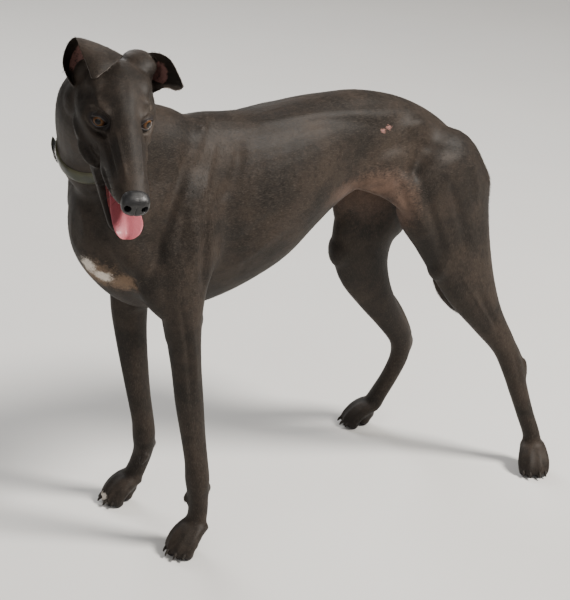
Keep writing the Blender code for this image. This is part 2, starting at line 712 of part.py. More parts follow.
def nostril(s):
    rows = ((0.135, s * 0.0070, -0.0340, 0.0042, 0.0034),
            (0.141, s * 0.0086, -0.0325, 0.0046, 0.0036),
            (0.146, s * 0.0110, -0.0322, 0.0046, 0.0036),
            (0.153, s * 0.0150, -0.0330, 0.0050, 0.0040))
    pts = [tuple(HEAD_M @ Vector(r[:3])) + (r[3], r[4]) for r in rows]
    return tube(pts, HEAD_L, n=12, steps=1)


def mouth_hollow():
    """Room behind the lips: the vault of the palate over the tongue."""
    rows = ((0.030, -0.050, -0.072, 0.0120, -0.060, 2.2, 2.2),
            (0.050, -0.0475, -0.074, 0.0170, -0.060, 2.2, 2.2),
            (0.080, -0.0455, -0.074, 0.0165, -0.060, 2.2, 2.2),
            (0.105, -0.0440, -0.072, 0.0150, -0.058, 2.2, 2.2),
            (0.118, -0.0430, -0.068, 0.0110, -0.056, 2.0, 2.0))
    return hull(rows, HEAD_M, n=20, steps=2)


def jaw_hollow():
    """The trough of the lower jaw the tongue lies in."""
    rows = ((0.030, -0.050, -0.070, 0.0130, -0.060, 2.2, 2.2),
            (0.060, -0.052, -0.072, 0.0135, -0.060, 2.2, 2.2),
            (0.090, -0.052, -0.069, 0.0115, -0.060, 2.2, 2.2),
            (0.108, -0.053, -0.067, 0.0085, -0.060, 2.0, 2.0))
    return hull(rows, JAW_M, n=20, steps=2)


# tongue: middle line in the head's frame, half thickness, half width
TONGUE = (
    (0.020, 0.000, -0.0660, 0.0055, 0.0110),
    (0.045, 0.000, -0.0710, 0.0055, 0.0150),
    (0.070, 0.001, -0.0770, 0.0050, 0.0180),
    (0.090, 0.002, -0.0825, 0.0046, 0.0205),
    (0.106, 0.003, -0.0865, 0.0042, 0.0220),
    (0.119, 0.003, -0.0885, 0.0038, 0.0218),
    (0.1290, 0.002, -0.0915, 0.0035, 0.0190),
    (0.1340, 0.001, -0.0945, 0.0030, 0.0140),
    (0.1365, 0.000, -0.0970, 0.0020, 0.0065))


def tongue_mesh():
    rows = []
    for x, y, z, a, b in TONGUE:
        rows.append((*(HEAD_M @ Vector((x, y, z))), a, b))
    return tube(rows, HEAD_L, n=16, steps=1)


def teeth(upper):
    """Eye teeth, cutting teeth and the first cheek teeth of one jaw."""
    m = HEAD_M if upper else JAW_M
    down = -1 if upper else 1
    root = -0.0500 if upper else -0.0640
    out = []
    spots = [(0.1100 if upper else 0.1065, 0.0150 if upper else 0.0118, 0.0030, 0.0150)]
    spots += [(0.1215 - 0.004 * k * k if upper else 0.1150 - 0.003 * k * k,
               0.0022 + 0.0042 * k, 0.0018, 0.0070) for k in range(3)]
    spots += [(0.092 - 0.015 * k, 0.0165 + 0.0008 * k if upper else 0.0142 + 0.001 * k,
               0.0034, 0.0080) for k in range(2)]
    for x, y, r, tall in spots:
        for s in (-1, 1):
            rows = ((x, s * y, root - down * 0.004, r, r * 0.8),
                    (x, s * y, root + down * tall * 0.5, r * 0.8, r * 0.6),
                    (x - 0.001, s * y, root + down * tall, r * 0.2, r * 0.2))
            pts = [tuple(m @ Vector(q[:3])) + (q[3], q[4]) for q in rows]
            out.append(tube(pts, HEAD_L, n=5, steps=1))
    return out


clear_scene()
PARTS = group("greyhound")
CUTTERS = group("cutters")
SCRAP = CUTTERS


def disc(centre, normal, radius, deep=CUT):
    """A thin round blade that parts two pieces."""
    n = Vector(normal).normalized()
    bm = bmesh.new()
    bmesh.ops.create_cone(bm, cap_ends=True, segments=32, radius1=radius,
                          radius2=radius, depth=deep)
    bm.transform(Matrix.Translation(Vector(centre))
                 @ n.to_track_quat("Z", "Y").to_matrix().to_4x4())
    mesh = bpy.data.meshes.new("blade")
    bm.to_mesh(mesh)
    bm.free()
    return mesh


def tool(name, mesh):
    ob = link(name, mesh, CUTTERS)
    ob.display_type = "WIRE"
    ob.hide_render = True
    return ob


def grown(name, ob, by):
    """A copy of a piece, swollen by a hair, to cut its bed with."""
    cut = tool(name, ob.data.copy())
    cut.matrix_world = ob.matrix_world
    mod = cut.modifiers.new("grow", "DISPLACE")
    mod.strength = by
    mod.mid_level = 0.0
    apply_all(cut)
    return cut


def largest(ob):
    pieces = islands(ob.data)
    if len(pieces) > 1:
        best = max((keep_faces(ob.data, p) for p in pieces), key=volume)
        ob.data = best


def colour(name, rgb, rough, metal=0.0, coat=0.0):
    mat = bpy.data.materials.new(name)
    mat.use_nodes = True
    bsdf = mat.node_tree.nodes["Principled BSDF"]
    bsdf.inputs["Base Color"].default_value = (*rgb, 1)
    bsdf.inputs["Roughness"].default_value = rough
    bsdf.inputs["Metallic"].default_value = metal
    bsdf.inputs["Coat Weight"].default_value = coat
    return mat


COAT = (0.045, 0.042, 0.042)


def finish(ob, name, rgb, rough, metal=0.0, coat=0.0, smooth=True):
    ob.name = name
    ob.data.name = name
    ob.data.materials.clear()
    ob.data.materials.append(colour(name, rgb, rough, metal, coat))
    ob.display_type = "TEXTURED"
    ob.hide_render = False
    for poly in ob.data.polygons:
        poly.material_index = 0
        poly.use_smooth = smooth
    if smooth:
        ob.data.set_sharp_from_angle(angle=math.radians(40))
    for coll in list(ob.users_collection):
        coll.objects.unlink(ob)
    PARTS.objects.link(ob)


def blade(name, centre, along, normal, length, width, deep=CUT):
    """A thin oblong blade: long along one way, thin along its normal."""
    n = Vector(normal).normalized()
    a = Vector(along)
    a = (a - a.dot(n) * n).normalized()
    b = n.cross(a)
    bm = bmesh.new()
    bmesh.ops.create_cube(bm, size=1.0)
    bm.transform(Matrix((
        (a.x * length, b.x * width, n.x * deep, centre[0]),
        (a.y * length, b.y * width, n.y * deep, centre[1]),
        (a.z * length, b.z * width, n.z * deep, centre[2]),
        (0, 0, 0, 1))))
    mesh = bpy.data.meshes.new(name)
    bm.to_mesh(mesh)
    bm.free()
    return tool(name, mesh)


def half_space(name, point, normal, size=1.4):
    """A big block on the side of the plane its normal points to."""
    n = Vector(normal).normalized()
    centre = Vector(point) + n * size / 2
    return blade(name, centre, (1, 0.01, 0), n, size, size, size)


# where the pieces part
HEAD_CUT = (Vector((-0.2461, -0.1076, 0.7910)), Vector((-0.30, -0.80, 0.52)))
NECK_CUT = (Vector((-0.150, -0.008, 0.680)), Vector((-0.62, -0.20, 0.76)))

body = melted("whole_body", body_meshes(), BODY_VOXEL, 16, 4, SCRAP)
head = melted("whole_head", head_meshes(), HEAD_VOXEL, 18, 6, SCRAP)

# soles stand flat on the floor
floor = half_space("floor", (0, 0, 0), (0, 0, -1), 3.0)

n_cut = HEAD_CUT[1].normalized()
head_fine = half_space("head_fine", HEAD_CUT[0], n_cut)
head_side = half_space("head_side", HEAD_CUT[0] + n_cut * CUT / 2, n_cut)
neck_side = half_space("neck_side", HEAD_CUT[0] - n_cut * CUT / 2, n_cut)
boolean(head, head_fine, "INTERSECT")
boolean(body, head_fine, "DIFFERENCE")

BLADE_AT = {
    "neck": (NECK_CUT[0], (0, 1, 0), NECK_CUT[1], 0.30, 0.36),
    "fore_left": ((-0.072, -0.082, 0.375), (1, 0, 0), (0, 0, 1), 0.13, 0.09),
    "fore_right": ((-0.072, 0.082, 0.375), (1, 0, 0), (0, 0, 1), 0.13, 0.09),
    "hind_left": ((0.455, -0.084, 0.470), (1, 0, 0), (0, 0, 1), 0.24, 0.120),
    "hind_right": ((0.420, 0.084, 0.470), (1, 0, 0), (0, 0, 1), 0.24, 0.120),
    "tail": ((0.546, -0.002, 0.530), (1, 0, 0), (0, 0, 1), 0.046, 0.046)}
JAW_Q = JAW_M.to_3x3()
JAW_AT = (JAW_M @ Vector((0.052, 0, -0.0865)), JAW_Q @ Vector((0, 1, 0)),
          JAW_Q @ Vector((1, 0, 0)), 0.110, 0.073)
# a finer set of blades parts the dense skin, a wider one trims the light one
BLADES = [blade("fine_" + k, *v, deep=CUT / 3) for k, v in BLADE_AT.items()]
TRIMS = {k: blade("blade_" + k, *v) for k, v in BLADE_AT.items()}
JAW_FINE = blade("fine_jaw", *JAW_AT, deep=CUT / 3)
JAW_TRIM = blade("blade_jaw", *JAW_AT)


def middle(mesh):
    co = np.empty(len(mesh.vertices) * 3)
    mesh.vertices.foreach_get("co", co)
    return co.reshape(-1, 3).mean(axis=0)


def parted(ob, blades, wanted):
    """Cut a body with its blades and name the pieces by where they lie."""
    for cut in blades:
        boolean(ob, cut, "DIFFERENCE")
    found = [keep_faces(ob.data, f) for f in islands(ob.data) if len(f) > 60]
    out = {}
    for name, place in wanted.items():
        best = min(found, key=lambda m: (Vector(middle(m)) - Vector(place)).length)
        out[name] = link(name, best, SCRAP)
    return out


nodes = parted(body, BLADES, {
    "torso": (0.17, 0.0, 0.58), "neck": (-0.20, -0.04, 0.72),
    "tail": (0.54, -0.01, 0.38),
    "leg_front_left": (-0.06, -0.09, 0.16), "leg_front_right": (-0.06, 0.09, 0.16),
    "leg_hind_left": (0.56, -0.10, 0.25), "leg_hind_right": (0.47, 0.09, 0.25)})
nodes.update(parted(head, [JAW_FINE], {
    "head": tuple(HEAD_M @ Vector((-0.02, 0, -0.01))),
    "jaw": tuple(JAW_M @ Vector((0.08, 0, -0.072)))}))

BUDGET = {"torso": 2100, "neck": 500, "tail": 260, "leg_front_left": 700,
          "leg_front_right": 700, "leg_hind_left": 820, "leg_hind_right": 820,
          "head": 2640, "jaw": 540}
TOUCHES = {"torso": ("neck", "fore_left", "fore_right", "hind_left", "hind_right",
                     "tail"),
           "neck": ("neck",), "tail": ("tail",), "leg_front_left": ("fore_left",),
           "leg_front_right": ("fore_right",), "leg_hind_left": ("hind_left",),
           "leg_hind_right": ("hind_right",), "head": (), "jaw": ()}
for name, ob in nodes.items():
    thinned(ob, BUDGET[name])
    for k in TOUCHES[name]:
        boolean(ob, TRIMS[k], "DIFFERENCE")
    if name in ("head", "jaw"):
        boolean(ob, JAW_TRIM, "DIFFERENCE")
    if name == "head":
        boolean(ob, head_side, "INTERSECT")
    if name == "neck":
        boolean(ob, neck_side, "DIFFERENCE")
    largest(ob)

# claws, then the floor's flat on every sole
for name in PAWS:
    leg = nodes["leg_" + name]
    for k, claw in enumerate(claw_meshes(name)):
        boolean(leg, tool("claw_%s_%d" % (name, k), claw), "UNION")
    boolean(leg, floor, "DIFFERENCE")
    largest(leg)

# the mouth: palate, trough of the jaw, teeth, tongue
boolean(nodes["head"], tool("palate", mouth_hollow()), "DIFFERENCE")
boolean(nodes["jaw"], tool("trough", jaw_hollow()), "DIFFERENCE")
for tooth in teeth(True):
    boolean(nodes["head"], tool("tooth", tooth), "UNION")
for tooth in teeth(False):
    boolean(nodes["jaw"], tool("tooth", tooth), "UNION")
tongue = link("tongue", tongue_mesh(), SCRAP)
bed = grown("tongue_bed", tongue, CUT)
boolean(nodes["jaw"], bed, "DIFFERENCE")
boolean(nodes["head"], bed, "DIFFERENCE")

# nose and eyes sit in beds in the head
nose = link("nose", hull(NOSE, HEAD_M, n=18, steps=2), SCRAP)
boolean(nodes["head"], grown("nose_bed", nose, CUT), "DIFFERENCE")
for s in (-1, 1):
    hole = tool("nostril", nostril(s))
    boolean(nose, hole, "DIFFERENCE")
for s, side in ((-1, "right"), (1, "left")):
    boolean(nodes["head"], tool("lids_" + side, lid_cutter(s)), "DIFFERENCE")
    eye = sphere("eye_" + side, eye_place(s), EYE_R, SCRAP)
    bed = sphere("socket_" + side, eye_place(s), EYE_R + CUT, CUTTERS)
    bed.display_type = "WIRE"
    bed.hide_render = True
    boolean(nodes["head"], bed, "DIFFERENCE")
    nodes["eye_" + side] = eye
largest(nodes["head"])
largest(nodes["jaw"])
nodes["nose"] = nose
nodes["tongue"] = tongue

# ears stand on the head
bed = grown("ear_bed", nodes["head"], CUT)
for side, rows in (("right", EAR_R), ("left", EAR_L)):
    ob = link("ear_" + side, ear(rows, EAR_THICK, 8, 2), SCRAP)
    boolean(ob, bed, "DIFFERENCE")
    largest(ob)
    nodes["ear_" + side] = ob

# collar: a strap lying on the neck, its buckle plate and its ring
outer = grown("strap_outer", nodes["neck"], COLLAR_T + CUT)
inner = grown("strap_inner", nodes["neck"], CUT * 4)
strap = link("collar_strap", outer.data.copy(), SCRAP)
boolean(strap, tool("strap_slab", disc(COLLAR_AT, COLLAR_AXIS, 0.100, COLLAR_W)),
        "INTERSECT")
boolean(strap, inner, "DIFFERENCE")
largest(strap)
nodes["collar_strap"] = strap


def on_strap(direction):
    """Where a line from the middle of the collar leaves the strap."""
    n = COLLAR_AXIS.normalized()
    d = Vector(direction)
    d = (d - d.dot(n) * n).normalized()
    hit = None
    start = COLLAR_AT + d * 0.14
    ok, place, normal, _ = strap.ray_cast(start, -d)
    if ok:
        hit = place
    return hit, d, n


def collar_plate():
    """A bowed metal buckle with a rounded outline."""
    place, d, n = on_strap((-0.80, 0.30, 0.10))
    t = n.cross(d)
    rows = []
    for k in range(9):
        a = (k - 4) / 4
        c = place + t * 0.015 * a + d * (0.0026 - 0.0022 * a * a)
        rows.append((*c, 0.0016, 0.0175 * (1 - 0.15 * a * a)))
    return tube(rows, n, n=12, steps=1)


def collar_ring():
    """The ring the strap carries on the nape."""
    place, d, n = on_strap((0.60, 0.50, 0.30))
    centre = place + d * 0.0145
    bm = bmesh.new()
    rings = []
    for k in range(18):
        a = 2 * math.pi * k / 18
        t = d * math.cos(a) + n * math.sin(a)
        ring = []
        for i in range(6):
            b = 2 * math.pi * i / 6
            ring.append(centre + t * (0.0125 + 0.0018 * math.cos(b))
                        + n.cross(d) * 0.0018 * math.sin(b))
        rings.append([bm.verts.new(v) for v in ring])
    for k in range(18):
        for i in range(6):
            a, b = rings[k], rings[(k + 1) % 18]
            bm.faces.new((a[i], a[(i + 1) % 6], b[(i + 1) % 6], b[i]))
    bmesh.ops.recalc_face_normals(bm, faces=bm.faces)
    mesh = bpy.data.meshes.new("ring")
    bm.to_mesh(mesh)
    bm.free()
    return mesh


for name, mesh in (("collar_buckle", collar_plate()), ("collar_ring", collar_ring())):
    ob = link(name, mesh, SCRAP)
    boolean(ob, grown("strap_bed", strap, CUT), "DIFFERENCE")
    largest(ob)
    nodes[name] = ob

FINISH = {
    "torso": (COAT, 0.5, 0.0, 0.0), "neck": (COAT, 0.5, 0.0, 0.0),
    "tail": (COAT, 0.5, 0.0, 0.0), "head": (COAT, 0.5, 0.0, 0.0),
    "jaw": (COAT, 0.5, 0.0, 0.0),
    "leg_front_left": (COAT, 0.5, 0.0, 0.0), "leg_front_right": (COAT, 0.5, 0.0, 0.0),
    "leg_hind_left": (COAT, 0.5, 0.0, 0.0), "leg_hind_right": (COAT, 0.5, 0.0, 0.0),
    "ear_left": (COAT, 0.5, 0.0, 0.0), "ear_right": (COAT, 0.5, 0.0, 0.0),
    "eye_left": ((0.10, 0.035, 0.010), 0.08, 0.0, 1.0),
    "eye_right": ((0.10, 0.035, 0.010), 0.08, 0.0, 1.0),
    "nose": ((0.020, 0.021, 0.024), 0.30, 0.0, 0.3),
    "tongue": ((0.62, 0.25, 0.28), 0.35, 0.0, 0.2),
    "collar_strap": ((0.020, 0.024, 0.014), 0.55, 0.0, 0.0),
    "collar_buckle": ((0.75, 0.75, 0.77), 0.20, 1.0, 0.0),
    "collar_ring": ((0.75, 0.75, 0.77), 0.20, 1.0, 0.0)}
# the origin is the middle of the whole dog's footprint box, on the floor
corners = [ob.matrix_world @ Vector(c) for ob in nodes.values() for c in ob.bound_box]
SHIFT = Vector((-(min(c.x for c in corners) + max(c.x for c in corners)) / 2,
                -(min(c.y for c in corners) + max(c.y for c in corners)) / 2,
                -min(c.z for c in corners)))
for name, ob in nodes.items():
    ob.data.transform(Matrix.Translation(SHIFT))
    finish(ob, name, *FINISH[name])
for ob in list(SCRAP.objects):
    if ob in (body, head):
        bpy.data.objects.remove(ob, do_unlink=True)
        continue
    ob.display_type = "WIRE"
    ob.hide_render = True
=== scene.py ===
import math

import bmesh
import bpy
import numpy as np
from mathutils import Matrix, Vector
from mathutils.bvhtree import BVHTree


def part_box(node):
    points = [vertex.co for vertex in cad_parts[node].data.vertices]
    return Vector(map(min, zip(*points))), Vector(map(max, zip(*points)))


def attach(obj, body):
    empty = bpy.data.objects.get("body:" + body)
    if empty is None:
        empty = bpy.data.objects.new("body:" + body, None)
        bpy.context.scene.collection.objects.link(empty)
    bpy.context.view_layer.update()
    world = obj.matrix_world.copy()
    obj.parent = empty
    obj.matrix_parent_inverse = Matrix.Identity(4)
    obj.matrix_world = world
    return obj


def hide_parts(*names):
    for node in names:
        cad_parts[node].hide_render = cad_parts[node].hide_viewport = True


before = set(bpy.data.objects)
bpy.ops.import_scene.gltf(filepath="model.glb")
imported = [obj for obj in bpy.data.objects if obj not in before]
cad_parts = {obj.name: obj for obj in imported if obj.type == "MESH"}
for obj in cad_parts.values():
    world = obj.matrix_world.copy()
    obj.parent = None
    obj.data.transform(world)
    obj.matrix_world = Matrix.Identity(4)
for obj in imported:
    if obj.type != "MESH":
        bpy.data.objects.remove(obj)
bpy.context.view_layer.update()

# grain of each skin as it melts together, and how far it lies inside the coat
BODY_VOXEL = 0.0027
HEAD_VOXEL = 0.0013
NOSE_VOXEL = 0.0007
NOSE_FINE_VOXEL = 0.0006
COAT_DEPTH = 0.0007
MUSCLE_BLUNT = 0.5
EAR_THICK = 0.0030
EAR_ACROSS = 22
EAR_STEPS = 7
JAW_OPEN = 15.0
TONGUE_STEPS = 40
# the eyeball, and the clear swelling at its front: part of the radius, height
EYE_R = 0.0150
CORNEA_WIDE = 0.62
CORNEA_HIGH = 0.0009
# the collar: middle of the neck under it, way of the neck there, width
COLLAR_AT = Vector((-0.191, -0.033, 0.703))
COLLAR_AXIS = Vector((-0.52, -0.44, 0.73)).normalized()
COLLAR_W = 0.028
COLLAR_STEPS = 120
COLLAR_ROWS = 9
COLLAR_FAR = 0.16
# the strap: gap to the neck, then across its width how worn and how high
STRAP_GAP = 0.0002
STRAP_WORN = (1, 0.6, 0.1, 0, 0, 0, 0.1, 0.6, 1)
STRAP_LIFT = (0.0, 0.0018, 0.0024, 0.0026, 0.0026, 0.0026, 0.0024, 0.0018, 0.0)
STITCH = 0.00035
# half thickness, shortest length
WHISKER = 0.00022
WHISKER_LONG = 0.022
# hair: how many, length on the body, how much less on the head and on the
# face, length on the ears, width, how far it strays from the lie, how far its
# tip stands off on the head and on the body, how far the lie hangs down
HAIRS = 240000
HAIR_BODY = 0.0062
HAIR_HEAD_LESS = 0.0026
HAIR_FACE_LESS = 0.0012
HAIR_EARS = 0.0018
HAIR_WIDE = 0.00042
HAIR_STRAY = 0.16
STAND_HEAD = 0.00012
STAND_BODY = 0.00030
HAIR_HANG = 0.25
HAIR_PIECES = 4
# room between charts of the laid-out skin, and the patch that one hair takes
CHART_GAP = 0.004
TUFT_PATCH = 0.003
CLAW_THICK = 0.9
# the opening between the lids, and their wet edge: half width, half height;
# how pointed its corners are, and how thick the edge is
LIDS = (0.0134, 0.0080)
LID_EDGE = (0.0129, 0.0076)
LID_POINT = 0.35
LID_THICK = 0.0010
LID_STEPS = 48

# the head's own frame: x to the nose, y to the dog's left, z up, origin
# midway between the eyes
HEAD_O = Vector((-0.274, -0.220, 0.800))
HEAD_F = Vector((-0.324, -0.880, -0.347)).normalized()
HEAD_U = Vector((-0.009, -0.364, 0.931))
HEAD_U = (HEAD_U - HEAD_U.dot(HEAD_F) * HEAD_F).normalized()
HEAD_L = HEAD_U.cross(HEAD_F)
HEAD_M = Matrix((
    (HEAD_F.x, HEAD_L.x, HEAD_U.x, HEAD_O.x),
    (HEAD_F.y, HEAD_L.y, HEAD_U.y, HEAD_O.y),
    (HEAD_F.z, HEAD_L.z, HEAD_U.z, HEAD_O.z),
    (0, 0, 0, 1)))
EYE_AT = {s: Vector((-0.0098, s * 0.0280, -0.0030)) for s in (-1, 1)}

# torso: x, top, bottom, half width, height of the widest place, roundness
# of the upper half, roundness of the lower half
TORSO = (
    (-0.220, 0.594, 0.526, 0.020, 0.560, 2.0, 2.0),
    (-0.211, 0.624, 0.502, 0.045, 0.560, 2.0, 2.0),
    (-0.192, 0.656, 0.472, 0.065, 0.560, 2.0, 2.0),
    (-0.158, 0.680, 0.436, 0.077, 0.562, 2.0, 1.9),
    (-0.114, 0.698, 0.409, 0.081, 0.565, 2.0, 1.8),
    (-0.060, 0.712, 0.396, 0.082, 0.560, 1.9, 1.7),
    (0.000, 0.716, 0.392, 0.085, 0.555, 1.8, 1.7),
    (0.050, 0.710, 0.402, 0.091, 0.560, 1.9, 1.8),
    (0.100, 0.707, 0.420, 0.094, 0.570, 2.0, 1.9),
    (0.150, 0.711, 0.445, 0.091, 0.582, 2.0, 2.0),
    (0.200, 0.7145, 0.484, 0.083, 0.600, 2.0, 2.0),
    (0.250, 0.7145, 0.518, 0.072, 0.615, 2.0, 2.0),
    (0.300, 0.7130, 0.540, 0.063, 0.622, 2.0, 2.0),
    (0.350, 0.7035, 0.550, 0.062, 0.622, 2.0, 2.0),
    (0.400, 0.6880, 0.553, 0.066, 0.618, 2.0, 2.0),
    (0.450, 0.6635, 0.545, 0.064, 0.605, 2.0, 2.0),
    (0.495, 0.6310, 0.535, 0.050, 0.582, 2.0, 2.0),
    (0.528, 0.5950, 0.540, 0.030, 0.566, 2.0, 2.0),
    (0.541, 0.575, 0.552, 0.012, 0.564, 2.0, 2.0))

# tubes: centre x, y, z, half depth (fore and aft), half width (sideways)
NECK = (
    (-0.020, 0.000, 0.610, 0.070, 0.052),
    (-0.078, 0.000, 0.636, 0.094, 0.064),
    (-0.136, -0.001, 0.664, 0.090, 0.066),
    (-0.181, -0.015, 0.691, 0.077, 0.063),
    (-0.209, -0.042, 0.728, 0.065, 0.060),
    (-0.232, -0.075, 0.762, 0.062, 0.059),
    (-0.249, -0.107, 0.796, 0.059, 0.057),
    (-0.256, -0.136, 0.816, 0.047, 0.046))
TAIL = (
    (0.482, 0.000, 0.612, 0.020, 0.018),
    (0.520, 0.000, 0.588, 0.018, 0.017),
    (0.543, 0.000, 0.560, 0.0155, 0.0142),
    (0.545, -0.002, 0.526, 0.0135, 0.0125),
    (0.527, -0.006, 0.470, 0.0125, 0.0115),
    (0.505, -0.010, 0.415, 0.0115, 0.0108),
    (0.498, -0.014, 0.370, 0.0105, 0.0100),
    (0.511, -0.016, 0.325, 0.0096, 0.0092),
    (0.543, -0.016, 0.287, 0.0086, 0.0084),
    (0.583, -0.014, 0.262, 0.0074, 0.0072),
    (0.617, -0.010, 0.256, 0.0058, 0.0056),
    (0.631, -0.008, 0.258, 0.0036, 0.0036))
ARM = (
    (-0.028, 0.046, 0.650, 0.026, 0.016),
    (-0.045, 0.060, 0.600, 0.056, 0.030),
    (-0.064, 0.070, 0.535, 0.064, 0.035),
    (-0.076, 0.076, 0.475, 0.052, 0.034),
    (-0.074, 0.079, 0.425, 0.037, 0.031),
    (-0.070, 0.080, 0.375, 0.0300, 0.027))
FORE_L = (
    (-0.073, -0.079, 0.430, 0.035, 0.030),
    (-0.070, -0.082, 0.375, 0.0292, 0.0265),
    (-0.0655, -0.085, 0.325, 0.0258, 0.0235),
    (-0.060, -0.089, 0.265, 0.0250, 0.0200),
    (-0.053, -0.093, 0.205, 0.0218, 0.0178),
    (-0.048, -0.097, 0.160, 0.0205, 0.0180),
    (-0.046, -0.099, 0.128, 0.0205, 0.0215),
    (-0.043, -0.098, 0.098, 0.0175, 0.0195),
    (-0.041, -0.097, 0.070, 0.0160, 0.0190),
    (-0.045, -0.098, 0.046, 0.0155, 0.0205))
FORE_R = (
    (-0.073, 0.079, 0.430, 0.036, 0.030),
    (-0.071, 0.083, 0.375, 0.0335, 0.0265),
    (-0.066, 0.085, 0.325, 0.0290, 0.0235),
    (-0.058, 0.084, 0.265, 0.0250, 0.0200),
    (-0.049, 0.082, 0.205, 0.0215, 0.0178),
    (-0.041, 0.081, 0.160, 0.0200, 0.0180),
    (-0.037, 0.082, 0.128, 0.0200, 0.0210),
    (-0.035, 0.086, 0.098, 0.0170, 0.0190),
    (-0.040, 0.092, 0.070, 0.0155, 0.0185),
    (-0.048, 0.097, 0.046, 0.0150, 0.0200))
HIND_L = (
    (0.432, -0.036, 0.622, 0.040, 0.028),
    (0.449, -0.054, 0.583, 0.077, 0.045),
    (0.458, -0.064, 0.525, 0.098, 0.043),
    (0.477, -0.070, 0.465, 0.080, 0.038),
    (0.496, -0.077, 0.410, 0.065, 0.034),
    (0.520, -0.086, 0.350, 0.050, 0.029),
    (0.553, -0.097, 0.290, 0.033, 0.024),
    (0.588, -0.109, 0.236, 0.0235, 0.0195),
    (0.606, -0.119, 0.192, 0.0215, 0.0185),
    (0.617, -0.127, 0.152, 0.0185, 0.0170),
    (0.631, -0.136, 0.105, 0.0160, 0.0165),
    (0.643, -0.145, 0.066, 0.0150, 0.0180),
    (0.644, -0.151, 0.045, 0.0150, 0.0200))
HIND_R = (
    (0.438, 0.036, 0.625, 0.046, 0.030),
    (0.442, 0.054, 0.585, 0.084, 0.045),
    (0.430, 0.066, 0.525, 0.089, 0.043),
    (0.425, 0.075, 0.465, 0.085, 0.038),
    (0.408, 0.082, 0.410, 0.068, 0.034),
    (0.414, 0.086, 0.352, 0.054, 0.030),
    (0.444, 0.087, 0.292, 0.037, 0.025),
    (0.483, 0.087, 0.236, 0.0265, 0.0205),
    (0.513, 0.087, 0.192, 0.0225, 0.0185),
    (0.519, 0.092, 0.152, 0.0185, 0.0170),
    (0.510, 0.104, 0.108, 0.0160, 0.0165),
    (0.499, 0.119, 0.068, 0.0150, 0.0180),
    (0.493, 0.127, 0.046, 0.0150, 0.0200))
# webs of skin from the belly to the knees
FLANK_L = (
    (0.235, -0.036, 0.590, 0.012, 0.008),
    (0.270, -0.048, 0.584, 0.022, 0.011),
    (0.310, -0.060, 0.576, 0.027, 0.013),
    (0.350, -0.071, 0.558, 0.029, 0.015),
    (0.390, -0.079, 0.522, 0.029, 0.017),
    (0.418, -0.082, 0.478, 0.027, 0.018))
FLANK_R = (
    (0.235, 0.036, 0.590, 0.012, 0.008),
    (0.265, 0.048, 0.582, 0.022, 0.011),
    (0.300, 0.060, 0.570, 0.027, 0.013),
    (0.332, 0.071, 0.548, 0.029, 0.015),
    (0.355, 0.079, 0.508, 0.029, 0.017),
    (0.367, 0.082, 0.460, 0.027, 0.018))
# paws: place of the knuckle joint, way the toes point, size
PAWS = {
    "front_left": ((-0.048, -0.099), (-1.0, -0.26), 0.90),
    "front_right": ((-0.050, 0.101), (-1.0, 0.03), 0.88),
    "hind_left": ((0.642, -0.155), (-0.55, -0.84), 0.86),
    "hind_right": ((0.489, 0.133), (-1.0, 0.42), 0.86)}

# head: x, top, bottom, half width, height of the widest place, roundness
# above and below, all in the head's own frame
SKULL = (
    (-0.122, 0.004, -0.028, 0.012, -0.012, 2.0, 2.0),
    (-0.116, 0.020, -0.038, 0.028, -0.011, 2.0, 2.0),
    (-0.102, 0.034, -0.047, 0.0455, -0.011, 2.0, 2.0),
    (-0.082, 0.0415, -0.054, 0.0545, -0.010, 2.0, 2.0),
    (-0.058, 0.0430, -0.058, 0.0580, -0.010, 1.85, 2.0),
    (-0.032, 0.0400, -0.060, 0.0560, -0.012, 1.65, 2.1),
    (-0.010, 0.0340, -0.060, 0.0500, -0.017, 1.5, 2.2),
    (0.010, 0.0265, -0.060, 0.0415, -0.022, 1.55, 2.4),
    (0.032, 0.0185, -0.060, 0.0345, -0.030, 1.8, 2.6),
    (0.058, 0.0095, -0.058, 0.0295, -0.036, 2.0, 2.8),
    (0.084, 0.0010, -0.0555, 0.0275, -0.036, 2.0, 2.8),
    (0.106, -0.0060, -0.0530, 0.0262, -0.036, 2.0, 2.8),
    (0.121, -0.0120, -0.0500, 0.0235, -0.035, 2.0, 2.6),
    (0.131, -0.0175, -0.0470, 0.0195, -0.033, 2.0, 2.4),
    (0.138, -0.0250, -0.0430, 0.0110, -0.033, 2.0, 2.0))
JAW = (
    (-0.060, -0.030, -0.070, 0.036, -0.048, 2.0, 2.0),
    (-0.035, -0.040, -0.082, 0.038, -0.060, 2.2, 2.2),
    (-0.005, -0.044, -0.086, 0.034, -0.066, 2.4, 2.2),
    (0.018, -0.044, -0.087, 0.0305, -0.066, 2.8, 2.2),
    (0.032, -0.053, -0.087, 0.0270, -0.070, 3.0, 2.2),
    (0.060, -0.0625, -0.085, 0.0225, -0.070, 3.0, 2.2),
    (0.088, -0.0620, -0.080, 0.0190, -0.069, 3.0, 2.2),
    (0.106, -0.0610, -0.077, 0.0170, -0.067, 3.0, 2.2),
    (0.117, -0.0610, -0.073, 0.0125, -0.066, 2.6, 2.0),
    (0.121, -0.0630, -0.069, 0.0050, -0.066, 2.0, 2.0))
JAW_HINGE = Vector((-0.045, 0.0, -0.040))
NOSE = (
    (0.1250, -0.0195, -0.0440, 0.0150, -0.0305, 2.2, 2.2),
    (0.1300, -0.0155, -0.0485, 0.0190, -0.0305, 2.5, 2.2),
    (0.1380, -0.0170, -0.0500, 0.0202, -0.0315, 2.7, 2.3),
    (0.1445, -0.0205, -0.0485, 0.0184, -0.0328, 2.7, 2.3),
    (0.1485, -0.0255, -0.0435, 0.0125, -0.0340, 2.4, 2.0))


